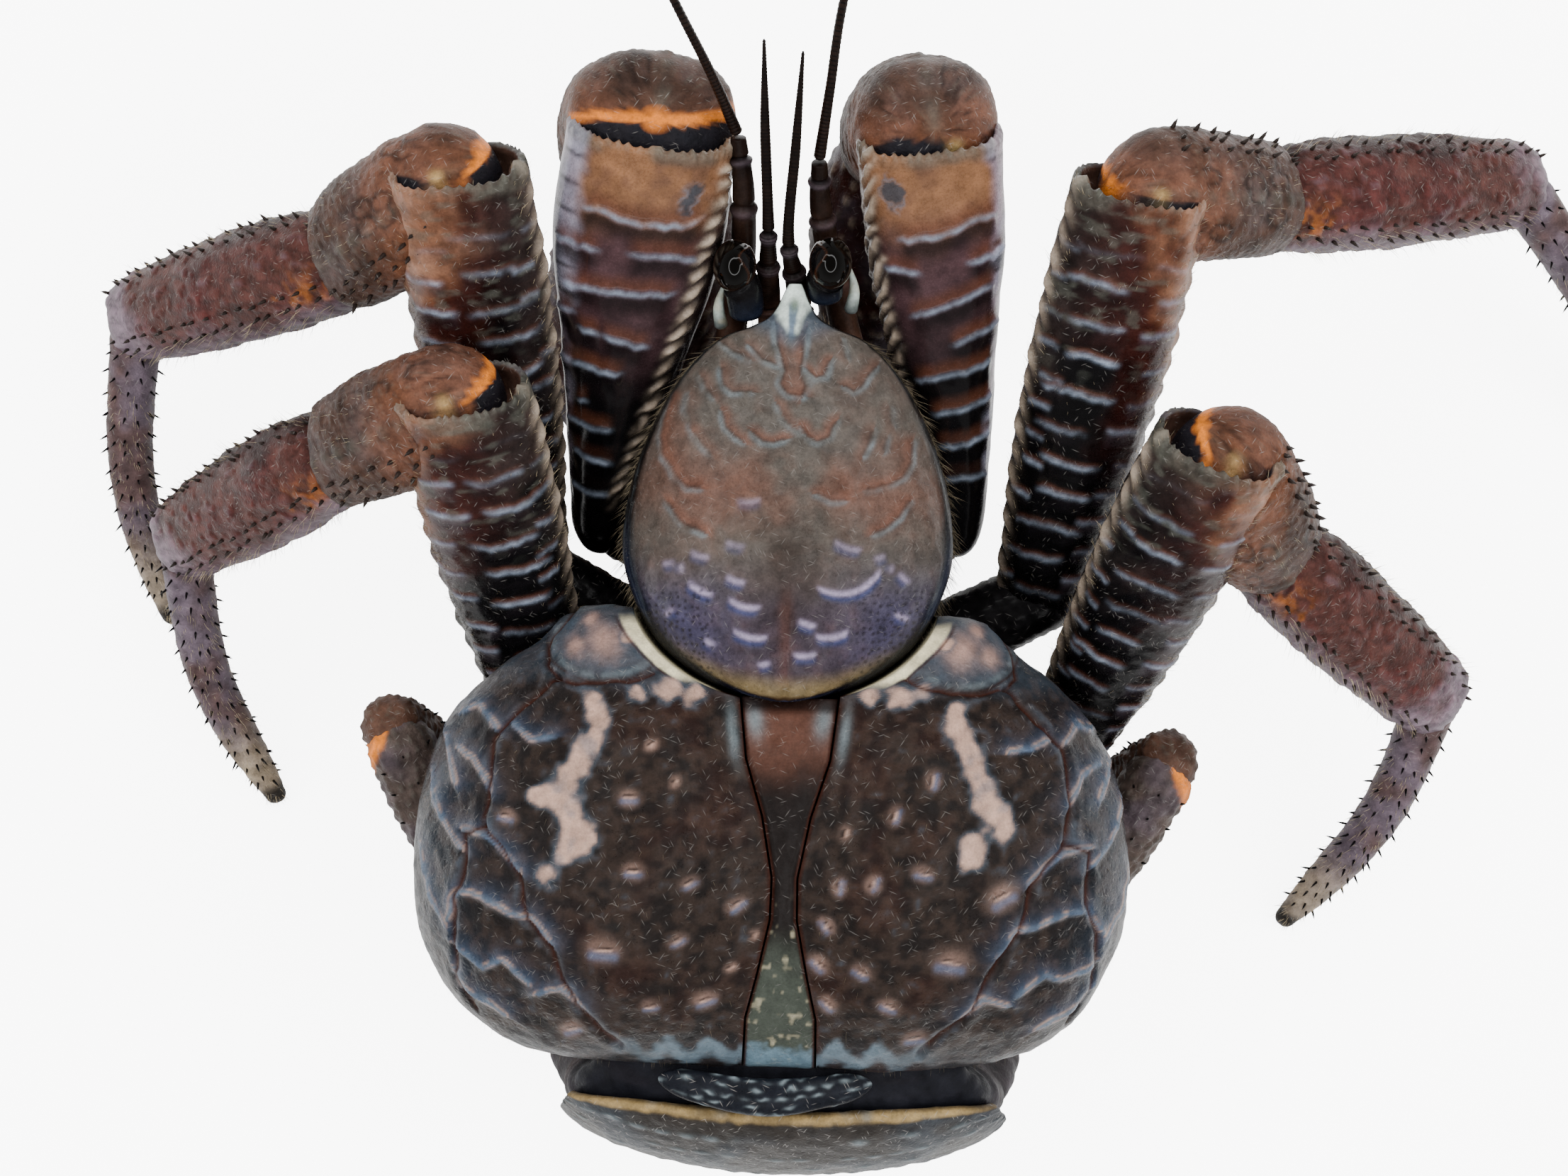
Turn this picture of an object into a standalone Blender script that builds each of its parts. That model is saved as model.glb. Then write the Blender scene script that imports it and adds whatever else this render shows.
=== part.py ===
"""Life-size still model of a coconut crab, a large land crab, with its claws tucked under its head.

Lengths here are millimetres, turned into metres where a mesh is made. +X is the crab's right, +Y its
front and +Z up, with the origin on the floor under the tail plate. Every plate and limb segment is its
own object.
Azimuths are degrees from +Y towards +X, elevations are degrees up from level.
"""

import math

import bmesh
import bpy
import numpy as np
from mathutils import Vector

MM = 0.001
GAP = 0.3                 # clearance between neighbouring pieces
CAP_STEPS = (0.0, 0.3)    # where the rings of a rounded end lie, as shares of its length

# Walking legs. Lengths of merus, carpus, propodus and dactyl, one row for each pair.
SEGMENT_LENGTHS = {"leg2": (67.5, 27.0, 50.0, 52.0), "leg3": (59.5, 26.5, 45.0, 48.5)}
PAIR_BULK = {"leg2": 1.0, "leg3": 0.97}
# Each leg's knee, then the azimuth and elevation of merus, carpus and propodus, and the dactyl's azimuth.
LEG_POSES = {
    "leg2_left": ((-47.2, 89.8, 68.1), (-7, 37), (-117, -39), (-100, -40), 177),
    "leg2_right": ((47.6, 90.2, 65.5), (9, 32), (83, -36), (80, -30), 145),
    "leg3_left": ((-45.7, 58.9, 66.7), (-11, 40), (-110, -36), (-113, -45), 164),
    "leg3_right": ((59.2, 54.5, 67.5), (19, 43), (138, -48), (125, -34), -155),
}
COXA_Y = {"claw": 37.5, "leg2": 20.5, "leg3": 7.0}
COXA_X = 14.0
COXA_Z = 25.0
TOE_HEIGHT = 0.4          # height of the centre of a toe's end, whose underside is cut flat on the floor

# Full widths and depths at five even stations along each kind of segment.
MERUS_WIDTH = (11.0, 15.5, 18.8, 19.8, 19.0)
MERUS_DEPTH = (9.5, 12.0, 14.0, 14.5, 13.5)
CARPUS_WIDTH = (14.5, 18.0, 18.5, 17.5, 15.5)
CARPUS_DEPTH = (12.5, 14.5, 15.0, 14.5, 13.0)
PROPODUS_WIDTH = (14.0, 16.6, 16.6, 15.0, 12.6)
PROPODUS_DEPTH = (12.5, 14.0, 13.5, 12.5, 11.0)
DACTYL_WIDTH = (9.2, 8.6, 7.4, 5.6, 3.0)
DACTYL_DEPTH = (9.4, 9.0, 7.6, 5.6, 3.0)
BASE_WIDTH = (13.0, 12.6, 12.0, 11.4, 11.0)
BASE_DEPTH = (13.5, 13.0, 12.5, 11.5, 10.5)

# Claw legs: shoulder, elbow, wrist, finger root and finger tip; the left claw is the larger.
CLAW_POINTS = {
    "left": ((-28.6, 43.5, 30.0), (-20.9, 97.0, 64.0), (-24.5, 99.5, 38.0), (-22.0, 67.0, 15.0),
             (-17.0, 41.0, 1.6)),
    "right": ((25.5, 44.5, 30.0), (18.3, 97.0, 64.0), (16.0, 101.5, 39.0), (12.5, 74.0, 16.0),
              (8.0, 54.0, 0.9)),
}
CLAW_MERUS_WIDTH = {"left": (11.0, 13.5, 18.3, 24.4, 23.6), "right": (11.0, 12.5, 15.5, 19.5, 20.5)}
CLAW_MERUS_DEPTH = {"left": (12.0, 14.0, 17.0, 19.0, 18.0), "right": (12.0, 13.0, 15.0, 16.5, 16.0)}
CLAW_CARPUS_WIDTH = {"left": (21.0, 24.5, 25.0, 24.0, 20.0), "right": (17.0, 20.5, 21.5, 20.5, 17.0)}
CLAW_CARPUS_DEPTH = {"left": (18.0, 20.0, 20.5, 20.0, 17.0), "right": (17.0, 20.0, 20.5, 19.0, 16.0)}
PALM_WIDTH = {
    "left": (17.0, 27.0, 29.5, 24.0, 12.5, 10.0, 6.0),
    "right": (15.0, 22.5, 24.5, 20.0, 10.5, 8.5, 5.0),
}
PALM_DEPTH = {
    "left": (15.0, 21.0, 22.0, 18.0, 11.5, 8.5, 5.0),
    "right": (13.5, 17.5, 18.5, 15.0, 9.5, 7.0, 4.2),
}
FINGER_WIDTH = {"left": (11.5, 12.0, 10.5, 8.0, 5.0), "right": (9.5, 10.0, 8.5, 6.5, 4.2)}
FINGER_DEPTH = {"left": (12.0, 12.0, 10.0, 7.5, 5.0), "right": (10.0, 10.0, 8.0, 6.0, 4.2)}
FINGER_SPREAD = {"left": 6.4, "right": 5.2}   # half the distance between the two fingers' roots

# Small fourth legs: the limb's centre line from the breastplate to its knee, then wrist and hand tip.
LEG4_POINTS = {
    "left": ((-14.3, -7.0, 25.0), (-34.0, -11.0, 27.0), (-49.0, -7.0, 31.0), (-59.8, 12.0, 37.0)),
    "right": ((14.3, -7.0, 25.0), (34.0, -11.0, 27.0), (48.0, -8.0, 31.0), (59.1, 10.0, 37.0)),
}
LEG4_WRIST_OFFSET = (-4.5, -4.5, -14.0)       # from the knee, X towards the midline
LEG4_HAND_OFFSET = (-8.0, -15.5, -8.0)        # from the wrist
LEG4_WIDTH = (10.0, 10.0, 10.0, 10.5, 10.0)
LEG4_CARPUS_WIDTH = (8.0, 9.0, 9.0, 8.5, 7.5)
LEG4_HAND_WIDTH = (7.0, 9.0, 9.0, 7.0, 4.5)

# Shield: distance forward, half width, height of the widest line, top and bottom.
SHIELD_STATIONS = (
    (18.0, 3.0, 52.0, 65.0, 41.0),
    (19.0, 8.0, 50.0, 65.6, 39.5),
    (21.5, 13.6, 48.0, 66.0, 38.5),
    (25.5, 18.6, 46.5, 66.4, 38.0),
    (31.0, 22.0, 45.5, 66.6, 38.0),
    (38.0, 24.2, 45.5, 66.4, 38.5),
    (45.5, 23.8, 47.0, 66.0, 41.5),
    (53.0, 21.8, 49.5, 65.4, 45.5),
    (60.0, 18.6, 52.5, 64.2, 49.5),
    (65.5, 14.8, 55.0, 63.0, 52.5),
    (69.5, 10.4, 56.8, 62.2, 54.8),
    (71.2, 6.6, 57.8, 61.8, 56.2),
    (73.0, 3.8, 58.6, 61.5, 57.4),
    (77.2, 1.0, 59.7, 60.9, 58.8),
)
# Gill covers and the plate between them, as one dome: forward, half width, top of the section.
GILL_STATIONS = (
    (30.3, 30.0, 55.5),
    (29.0, 31.6, 59.0),
    (25.5, 34.5, 63.0),
    (21.0, 41.0, 66.5),
    (13.5, 47.5, 70.5),
    (4.0, 51.2, 73.0),
    (-6.0, 52.2, 73.5),
    (-16.0, 51.4, 71.5),
    (-25.0, 47.6, 67.5),
    (-31.0, 42.0, 62.5),
    (-34.5, 35.0, 58.0),
    (-36.2, 28.0, 52.0),
)
GILL_MIDDLE = -1.2        # the hind body leans slightly to the left
GILL_EQUATOR = 47.0
GILL_BOTTOM = 33.5
VALLEY_DEPTH = 6.5        # groove along the middle, between the two lobes
VALLEY_WIDTH = 13.0
# Half width of the plate over the heart, an hourglass, against distance forward.
HEART_PLATE = ((19.0, 7.0), (10.0, 5.9), (2.0, 3.4), (-6.5, 1.8), (-12.5, 1.9), (-20.0, 3.4), (-27.0, 5.0),
               (-40.0, 5.4))
HEART_MIDDLE = 0.9

BREAST = (-9.0, 44.0, 13.0, 18.5)             # rear, front, half width and bottom
BREAST_TOPS = ((-9.0, 32.3), (22.0, 32.3), (24.6, 37.2), (38.0, 37.2), (44.0, 38.4))   # forward, height
MOUTH_SPINE = ((0.0, 46.6, 32.5), (0.0, 55.0, 37.5), (0.0, 66.0, 46.0))
MOUTH_WIDTH = (20.0, 20.0, 15.0)
MOUTH_DEPTH = (9.0, 11.0, 8.0)

# Abdomen: a bag curled under the body, its middle line, full widths and full depths.
ABDOMEN_SPINE = ((0.5, -30.0, 50.0), (1.5, -39.0, 44.5), (2.0, -42.0, 32.0), (2.0, -36.0, 20.0),
                 (2.0, -22.0, 12.5), (1.0, -6.0, 8.0), (0.5, 7.0, 7.5))
ABDOMEN_WIDTH = (44.0, 62.0, 69.0, 76.0, 76.0, 62.0, 34.0)
ABDOMEN_DEPTH = (8.0, 17.0, 23.0, 27.0, 27.0, 16.0, 10.0)
# Back plates of the abdomen: stretch of the bag that each covers and half the angle that it wraps.
BACK_PLATES = {
    "tergite_2": (0.125, 0.315, 76),
    "tergite_3": (0.33, 0.455, 62),
    "tergite_4": (0.47, 0.585, 56),
}
PLATE_THICK = 1.6
TAIL_PLATE = (-3.5, 15.5, 20.0, 2.0)          # middle forward, length, width, thickness

EYE_CENTRES = {"left": (-8.7, 79.4, 61.6), "right": (4.9, 80.2, 61.6)}
EYE_RADII = (3.05, 3.8, 3.1)
STALK_BASES = {"left": (-6.8, 72.6, 57.2), "right": (4.35, 75.3, 57.7)}
STALK_WIDTH = (4.6, 5.2, 5.6)

ANTENNULE_SPINES = {
    "left": ((-3.4, 70.0, 51.5), (-3.9, 77.0, 55.0), (-4.1, 85.5, 63.5), (-4.8, 97.0, 72.5),
             (-5.2, 107.7, 80.0)),
    "right": ((1.2, 70.0, 51.5), (0.4, 77.0, 55.0), (-1.2, 83.5, 63.0), (-0.5, 95.0, 72.0),
              (0.1, 106.2, 80.0)),
}
ANTENNULE_WIDTH = (3.2, 3.2, 1.6, 1.3, 0.6)
ANTENNA_SPINES = {
    "left": ((-9.6, 68.5, 49.0), (-7.8, 80.0, 55.0), (-7.7, 89.5, 63.0), (-8.6, 96.7, 67.5)),
    "right": ((8.5, 68.5, 49.0), (5.2, 80.0, 55.0), (3.3, 88.0, 61.5), (2.8, 93.6, 67.0)),
}
ANTENNA_WIDTH = (4.4, 3.8, 3.2, 2.2)
WHIP_SPINES = {
    "left": ((-8.7, 97.0, 68.0), (-12.4, 103.9, 75.0), (-17.3, 111.7, 84.0), (-25.0, 125.0, 95.5),
             (-35.0, 139.0, 103.0), (-46.0, 152.0, 104.5)),
    "right": ((2.8, 93.9, 67.5), (3.9, 102.0, 75.0), (5.3, 112.3, 84.0), (9.0, 127.0, 95.5),
              (15.5, 142.0, 102.0), (24.0, 156.0, 102.5)),
}
WHIP_WIDTH = (1.5, 1.3, 1.2, 1.1, 0.9, 0.6)
FEELER_POINTS = {"left": ((-5.8, 46.0, 24.0), (-7.0, 60.0, 27.5), (-5.6, 69.5, 34.5), (-4.4, 71.0, 45.0)),
                 "right": ((5.8, 46.0, 24.0), (7.0, 60.0, 27.5), (5.0, 69.5, 34.5), (3.4, 71.0, 45.0))}
FEELER_WIDTH = (7.5, 8.0, 6.5, 3.5)

COLOURS = {
    "body_shell": ((0.055, 0.045, 0.060), 0.45),
    "leg_shell": ((0.135, 0.055, 0.040), 0.35),
    "claw_shell": ((0.150, 0.060, 0.040), 0.33),
    "soft_skin": ((0.070, 0.060, 0.075), 0.65),
    "eye_surface": ((0.010, 0.006, 0.005), 0.05),
    "feeler_shell": ((0.022, 0.014, 0.012), 0.40),
}


def clear_scene():
    for thing in list(bpy.data.objects):
        bpy.data.objects.remove(thing)


def make_materials():
    for name, (colour, roughness) in COLOURS.items():
        material = bpy.data.materials.new(name)
        material.use_nodes = True
        shader = material.node_tree.nodes["Principled BSDF"]
        shader.inputs["Base Color"].default_value = (*colour, 1.0)
        shader.inputs["Roughness"].default_value = roughness
        shader.inputs["Metallic"].default_value = 0.0


def heading(azimuth, elevation):
    """Unit vector of a direction given in degrees."""
    across, rise = math.radians(azimuth), math.radians(elevation)
    return np.array([math.sin(across) * math.cos(rise), math.cos(across) * math.cos(rise), math.sin(rise)])


def unit(vector):
    return np.asarray(vector, float) / np.linalg.norm(vector)


def smooth(values, t):
    """Cubic curve through evenly spaced values, read at t from 0 to 1; slopes are central differences."""
    values = np.asarray(values, float)
    last = len(values) - 1
    slopes = np.gradient(values, axis=0)
    place = min(max(t, 0.0), 1.0) * last
    step = min(int(place), last - 1)
    u = place - step
    return (
        (2 * u**3 - 3 * u**2 + 1) * values[step]
        + (u**3 - 2 * u**2 + u) * slopes[step]
        + (3 * u**2 - 2 * u**3) * values[step + 1]
        + (u**3 - u**2) * slopes[step + 1]
    )


def section(half_width, above, below, square, sides):
    """Closed superellipse as (across, up) pairs; 'square' 2 is an ellipse, and more is boxier."""
    points = []
    for index in range(sides):
        angle = 2 * math.pi * (index + 0.5) / sides
        across = math.copysign(abs(math.cos(angle)) ** (2 / square), math.cos(angle))
        up = math.copysign(abs(math.sin(angle)) ** (2 / square), math.sin(angle))
        points.append((half_width * across, (above if up > 0 else below) * up))
    return points


def solid_from_rings(rings):
    """Closed bmesh through equal rings of points, quads between them and a flat face over each end."""
    mesh = bmesh.new()
    loops = [[mesh.verts.new(Vector(point) * MM) for point in ring] for ring in rings]
    for first, second in zip(loops, loops[1:]):
        count = len(first)
        for index in range(count):
            after = (index + 1) % count
            mesh.faces.new((first[index], first[after], second[after], second[index]))
    mesh.faces.new(loops[0][::-1])
    mesh.faces.new(loops[-1])
    bmesh.ops.recalc_face_normals(mesh, faces=mesh.faces)
    return mesh


def cut_away(mesh, point, normal):
    """Cuts a closed bmesh by a plane, drops what lies on the normal's side and closes the cut."""
    everything = mesh.verts[:] + mesh.edges[:] + mesh.faces[:]
    bmesh.ops.bisect_plane(
        mesh, geom=everything, plane_co=Vector(point) * MM, plane_no=Vector(normal), clear_outer=True
    )
    rim = [edge for edge in mesh.edges if edge.is_boundary]
    bmesh.ops.holes_fill(mesh, edges=rim, sides=0)
    bmesh.ops.recalc_face_normals(mesh, faces=mesh.faces)


def add_object(name, mesh, material, origin=(0.0, 0.0, 0.0), smooth_angle=40):
    """Turns a bmesh into a named object whose own origin is at the given point."""
    bmesh.ops.translate(mesh, verts=mesh.verts, vec=-Vector(origin) * MM)
    bmesh.ops.triangulate(mesh, faces=[face for face in mesh.faces if len(face.verts) > 4])
    data = bpy.data.meshes.new(name)
    mesh.to_mesh(data)
    mesh.free()
    data.shade_smooth()
    data.set_sharp_from_angle(angle=math.radians(smooth_angle))
    thing = bpy.data.objects.new(name, data)
    data.materials.append(bpy.data.materials[material])
    thing.location = Vector(origin) * MM
    thing.parent = bpy.data.objects["crab"]
    bpy.context.scene.collection.objects.link(thing)
    return thing


def limb_rings(spine, width, depth, up, caps=(5.0, 5.0), square=2.3, rings=4, sides=10, bow=0.0):
    """Rings of a limb along a smooth spine.

    The half width and half depth follow the given stations. Over each cap's length the ring shrinks as an
    ellipse's end does, and 'bow' lifts the middle towards 'up'.
    """
    spine = np.asarray(spine, float)
    steps = np.array([smooth(spine, t) for t in np.linspace(0, 1, 41)])
    length = np.linalg.norm(np.diff(steps, axis=0), axis=1).sum()
    start_cap, end_cap = caps
    places = [start_cap * share for share in CAP_STEPS] if start_cap else []
    places += list(np.linspace(start_cap, length - end_cap, rings + 2))
    places += [length - end_cap * share for share in reversed(CAP_STEPS)] if end_cap else []
    up = np.asarray(up, float)
    made = []
    for place in places:
        t = place / length
        tangent = unit(smooth(spine, min(t + 0.02, 1.0)) - smooth(spine, max(t - 0.02, 0.0)))
        side = unit(np.cross(tangent, up))
        lift = np.cross(side, tangent)
        shrink = 1.0
        if start_cap and place < start_cap:
            shrink = math.sqrt(max(1 - (1 - place / start_cap) ** 2, 0.03))
        if end_cap and place > length - end_cap:
            shrink = math.sqrt(max(1 - (1 - (length - place) / end_cap) ** 2, 0.03))
        middle = smooth(spine, t) + lift * bow * 4 * t * (1 - t)
        half_width = smooth(width, t) * shrink / 2
        half_depth = smooth(depth, t) * shrink / 2
        outline = section(half_width, half_depth, half_depth, square, sides)
        made.append([middle + side * across + lift * rise for across, rise in outline])
    return made


def make_limb(name, material, spine, width, depth, up=(0, 0, 1), cuts=(), floor=False, **shape):
    """One limb segment, cut by planes given as (point, normal) and made flat where it meets the floor."""
    mesh = solid_from_rings(limb_rings(spine, width, depth, up, **shape))
    for point, normal in cuts:
        cut_away(mesh, point, normal)
    if floor:
        cut_away(mesh, (0, 0, 0), (0, 0, -1))
    return add_object(name, mesh, material, spine[0])


def hide(thing):
    """Marks an object as a helper, which isn't part of the model."""
    thing.hide_render = True
    thing.display_type = "WIRE"
    return thing


def mitre(point, before, after):
    """The two cuts that part two segments at a joint, half a gap each side of the bisecting plane."""
    normal = unit(unit(before) + unit(after))
    point = np.asarray(point, float)
    return (point - normal * GAP / 2, normal), (point + normal * GAP / 2, -normal)


def carve(thing, *others, gap=GAP):
    """Cuts the space of other objects, grown by the gap, out of one object."""
    for other in others:
        name = other.name + "_clearance"
        cutter = bpy.data.objects.get(name)
        if cutter is None:
            data = other.data.copy()
            mesh = bmesh.new()
            mesh.from_mesh(data)
            mesh.normal_update()
            for vertex in mesh.verts:
                vertex.co += vertex.normal * (gap * 1.25 * MM)
            mesh.to_mesh(data)
            mesh.free()
            cutter = bpy.data.objects.new(name, data)
            cutter.location = other.location
            cutter.parent = other.parent
            bpy.context.scene.collection.objects.link(hide(cutter))
        modifier = thing.modifiers.new("clear of " + other.name, "BOOLEAN")
        modifier.operation = "DIFFERENCE"
        modifier.object = cutter


def make_walking_legs():
    """Second and third legs: base, merus, carpus, propodus and dactyl, worked both ways from the knee."""
    for name, (knee, merus_way, carpus_way, propodus_way, dactyl_azimuth) in LEG_POSES.items():
        pair = name.split("_")[0]
        bulk = PAIR_BULK[pair]
        merus_long, carpus_long, propodus_long, dactyl_long = SEGMENT_LENGTHS[pair]
        outward = -1 if "left" in name else 1
        merus_dir = heading(*merus_way)
        carpus_dir = heading(*carpus_way)
        propodus_dir = heading(*propodus_way)
        knee = np.array(knee)
        hip = knee - merus_dir * merus_long
        wrist = knee + carpus_dir * carpus_long
        ankle = wrist + propodus_dir * propodus_long
        fall = math.degrees(math.asin((TOE_HEIGHT - ankle[2]) / dactyl_long))
        dactyl_dir = heading(dactyl_azimuth, fall)
        toe = ankle + dactyl_dir * dactyl_long
        coxa = np.array((outward * COXA_X, COXA_Y[pair], COXA_Z))
        base_dir = unit(hip - coxa)

        hip_cuts = mitre(hip, base_dir, merus_dir)
        wrist_cuts = mitre(wrist, carpus_dir, propodus_dir)
        chest_cut = ((outward * (BREAST[2] + GAP), 0, 0), (-outward, 0, 0))
        make_limb(name + "_base", "leg_shell", (coxa - base_dir * 4, hip + base_dir * 5),
                  BASE_WIDTH, BASE_DEPTH, cuts=(chest_cut, hip_cuts[0]), caps=(0, 4), rings=1, sides=8)
        merus = make_limb(name + "_merus", "leg_shell", (hip - merus_dir * 5, knee + merus_dir * 1.5),
                          np.array(MERUS_WIDTH) * bulk, np.array(MERUS_DEPTH) * bulk,
                          cuts=(hip_cuts[1],), caps=(4, 3), rings=3, sides=12, square=2.4)
        carpus = make_limb(name + "_carpus", "leg_shell",
                           (knee - carpus_dir * 6 + merus_dir - (0, 0, 3.5), wrist + carpus_dir * 3),
                           np.array(CARPUS_WIDTH) * bulk, np.array(CARPUS_DEPTH) * bulk,
                           cuts=(wrist_cuts[0],), caps=(7, 4), rings=2, sides=10, bow=1.5)
        carve(carpus, merus)
        propodus = make_limb(name + "_propodus", "leg_shell",
                             (wrist - propodus_dir * 4, ankle + propodus_dir * 4),
                             np.array(PROPODUS_WIDTH) * bulk, np.array(PROPODUS_DEPTH) * bulk,
                             cuts=(wrist_cuts[1],), caps=(4, 5), rings=3, sides=10, bow=1.0)
        dactyl = make_limb(name + "_dactyl", "leg_shell", (ankle - dactyl_dir * 2, toe),
                           np.array(DACTYL_WIDTH) * bulk, np.array(DACTYL_DEPTH) * bulk,
                           caps=(4, 1.5), rings=3, sides=8, bow=2.5, floor=True)
        carve(dactyl, propodus)


def make_claws():
    """The two claw legs: base, merus, carpus, palm with its fixed finger, and the moving finger."""
    for side, (shoulder, elbow, wrist, root, tip) in CLAW_POINTS.items():
        outward = -1 if side == "left" else 1
        shoulder, elbow, wrist, root, tip = map(np.array, (shoulder, elbow, wrist, root, tip))
        coxa = np.array((outward * COXA_X, COXA_Y["claw"], COXA_Z))
        base_dir, merus_dir = unit(shoulder - coxa), unit(elbow - shoulder)
        carpus_dir, palm_dir = unit(wrist - elbow), unit(root - wrist)
        hip_cuts = mitre(shoulder, base_dir, merus_dir)
        wrist_cuts = mitre(wrist, carpus_dir, palm_dir)
        chest_cut = ((outward * (BREAST[2] + GAP), 0, 0), (-outward, 0, 0))
        make_limb(f"claw_{side}_base", "claw_shell", (coxa - base_dir * 4, shoulder + base_dir * 5),
                  BASE_WIDTH, BASE_DEPTH, cuts=(chest_cut, hip_cuts[0]), caps=(0, 4), rings=1, sides=8)
        merus = make_limb(f"claw_{side}_merus", "claw_shell",
                          (shoulder - merus_dir * 5, elbow + merus_dir * 1.5),
                          CLAW_MERUS_WIDTH[side], CLAW_MERUS_DEPTH[side],
                          cuts=(hip_cuts[1],), caps=(4, 3), rings=3, sides=12, square=2.5)
        carpus = make_limb(f"claw_{side}_carpus", "claw_shell",
                           (elbow - carpus_dir * 6 + merus_dir * 2, wrist + carpus_dir * 6),
                           CLAW_CARPUS_WIDTH[side], CLAW_CARPUS_DEPTH[side], up=(0, 1, 0),
                           cuts=(wrist_cuts[0],), caps=(7, 5), rings=2, sides=12, bow=1.0)
        carve(carpus, merus)
        inward = np.array((-outward, 0, 0))
        spread = FINGER_SPREAD[side]
        middle = (wrist + root) / 2
        fixed = (wrist - palm_dir * 5, middle, root - inward * spread,
                 (root + tip) / 2 - inward * (spread + 1.0), tip - inward * (spread * 0.45))
        palm = make_limb(f"claw_{side}_palm", "claw_shell", fixed, PALM_WIDTH[side], PALM_DEPTH[side],
                         cuts=(wrist_cuts[1],), caps=(5, 2), rings=5, sides=12, floor=True)
        moving = (root - palm_dir * 4 + inward * (spread + 0.6),
                  (root + tip) / 2 + inward * (spread + 1.2),
                  tip + inward * (spread * 0.5))
        finger = make_limb(f"claw_{side}_finger", "claw_shell", moving,
                           FINGER_WIDTH[side], FINGER_DEPTH[side], caps=(4, 2),
                           rings=3, sides=8, floor=True)
        carve(palm, finger)


def make_fourth_legs():
    """Small fourth legs, tucked against the hind body, each with a hand folded under it."""
    for side, points in LEG4_POINTS.items():
        outward = -1 if side == "left" else 1
        mirror = np.array((outward, 1, 1))
        knee = np.array(points[-1])
        wrist = knee + np.array(LEG4_WRIST_OFFSET) * mirror
        tip = wrist + np.array(LEG4_HAND_OFFSET) * mirror
        carpus_dir, hand_dir = unit(wrist - knee), unit(tip - wrist)
        wrist_cuts = mitre(wrist, carpus_dir, hand_dir)
        merus = make_limb(f"leg4_{side}_merus", "leg_shell", points, LEG4_WIDTH, LEG4_WIDTH,
                          caps=(2, 4), rings=4, sides=7)
        carpus = make_limb(f"leg4_{side}_carpus", "leg_shell",
                           (knee - carpus_dir * 2, wrist + carpus_dir * 3),
                           LEG4_CARPUS_WIDTH, LEG4_CARPUS_WIDTH, up=(0, 1, 0),
                           cuts=(wrist_cuts[0],), caps=(3, 3), rings=1, sides=7)
        carve(carpus, merus)
        make_limb(f"leg4_{side}_hand", "leg_shell", (wrist - hand_dir * 3, tip),
                  LEG4_HAND_WIDTH, LEG4_HAND_WIDTH, cuts=(wrist_cuts[1],), caps=(3, 3), rings=1, sides=7)


def make_shield():
    """The front of the carapace with its beak: sections across the body, boxy at the sides."""
    rings = []
    for forward, half_width, widest, top, bottom in SHIELD_STATIONS:
        outline = section(half_width, top - widest, widest - bottom, 2.6, 16)
        rings.append([(across, forward, widest + rise) for across, rise in outline])
    return add_object("shield", solid_from_rings(rings), "body_shell", (0, 18, 50))


def gill_dome():
    """The swollen hind part of the carapace in one piece: two lobes with a valley between them."""
    rings = []
    for forward, half_width, top in GILL_STATIONS:
        ring = []
        for across, rise in section(half_width, top - GILL_EQUATOR, GILL_EQUATOR - GILL_BOTTOM, 2.2, 26):
            if rise > 0:
                share = (top - GILL_EQUATOR) / 26.0
                rise -= share * VALLEY_DEPTH * math.exp(-((across / VALLEY_WIDTH) ** 2))
            ring.append((across + GILL_MIDDLE, forward, GILL_EQUATOR + rise))
        rings.append(ring)
    return solid_from_rings(rings)


def upright_prism(name, outline):
    """Hidden cutter: a plan outline drawn out through the whole height of the body."""
    mesh = bmesh.new()
    face = mesh.faces.new([mesh.verts.new(Vector((x, y, 20.0)) * MM) for x, y in outline])
    drawn = bmesh.ops.extrude_face_region(mesh, geom=[face])["geom"]
    raised = [part for part in drawn if isinstance(part, bmesh.types.BMVert)]
    bmesh.ops.translate(mesh, verts=raised, vec=(0, 0, 80.0 * MM))
    bmesh.ops.recalc_face_normals(mesh, faces=mesh.faces)
    cutter = add_object(name, mesh, "body_shell")
    return hide(cutter)


def shield_pocket():
    """Plan outline of the shield, a gap larger, for the notch that it stands in."""
    right = [(half_width + GAP, forward - GAP) for forward, half_width, *_ in SHIELD_STATIONS[:8]]
    left = [(-x, y) for x, y in reversed(right)]
    return right + left


def hourglass_line(sign, shift):
    """Plan line of one side of the heart plate, front to rear, moved sideways by 'shift'."""
    return [(HEART_MIDDLE + sign * half + shift, forward) for forward, half in HEART_PLATE]


def make_gill_covers(near_limbs):
    """Left and right gill cover with the heart plate between them, parted by thin cuts."""
    pocket = upright_prism("shield_pocket", shield_pocket())
    far = 60.0
    regions = {"heart_plate": hourglass_line(-1, GAP / 2) + hourglass_line(1, -GAP / 2)[::-1]}
    for name, sign in (("gill_cover_left", -1), ("gill_cover_right", 1)):
        line = hourglass_line(sign, sign * GAP / 2)
        outside = [(line[-1][0], -far), (sign * far, -far), (sign * far, far), (line[0][0], far)]
        regions[name] = line + outside
    for name, outline in regions.items():
        plate = add_object(name, gill_dome(), "body_shell", (GILL_MIDDLE, 0, GILL_EQUATOR))
        region = upright_prism(name + "_region", outline)
        for operation, cutter in (("DIFFERENCE", pocket), ("INTERSECT", region)):
            modifier = plate.modifiers.new(operation.lower(), "BOOLEAN")
            modifier.operation = operation
            modifier.object = cutter
        if name != "heart_plate":
            carve(plate, *[limb for limb in near_limbs if name.split("_")[-1] in limb.name])
    return hide(add_object("hind_dome", gill_dome(), "body_shell"))


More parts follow.
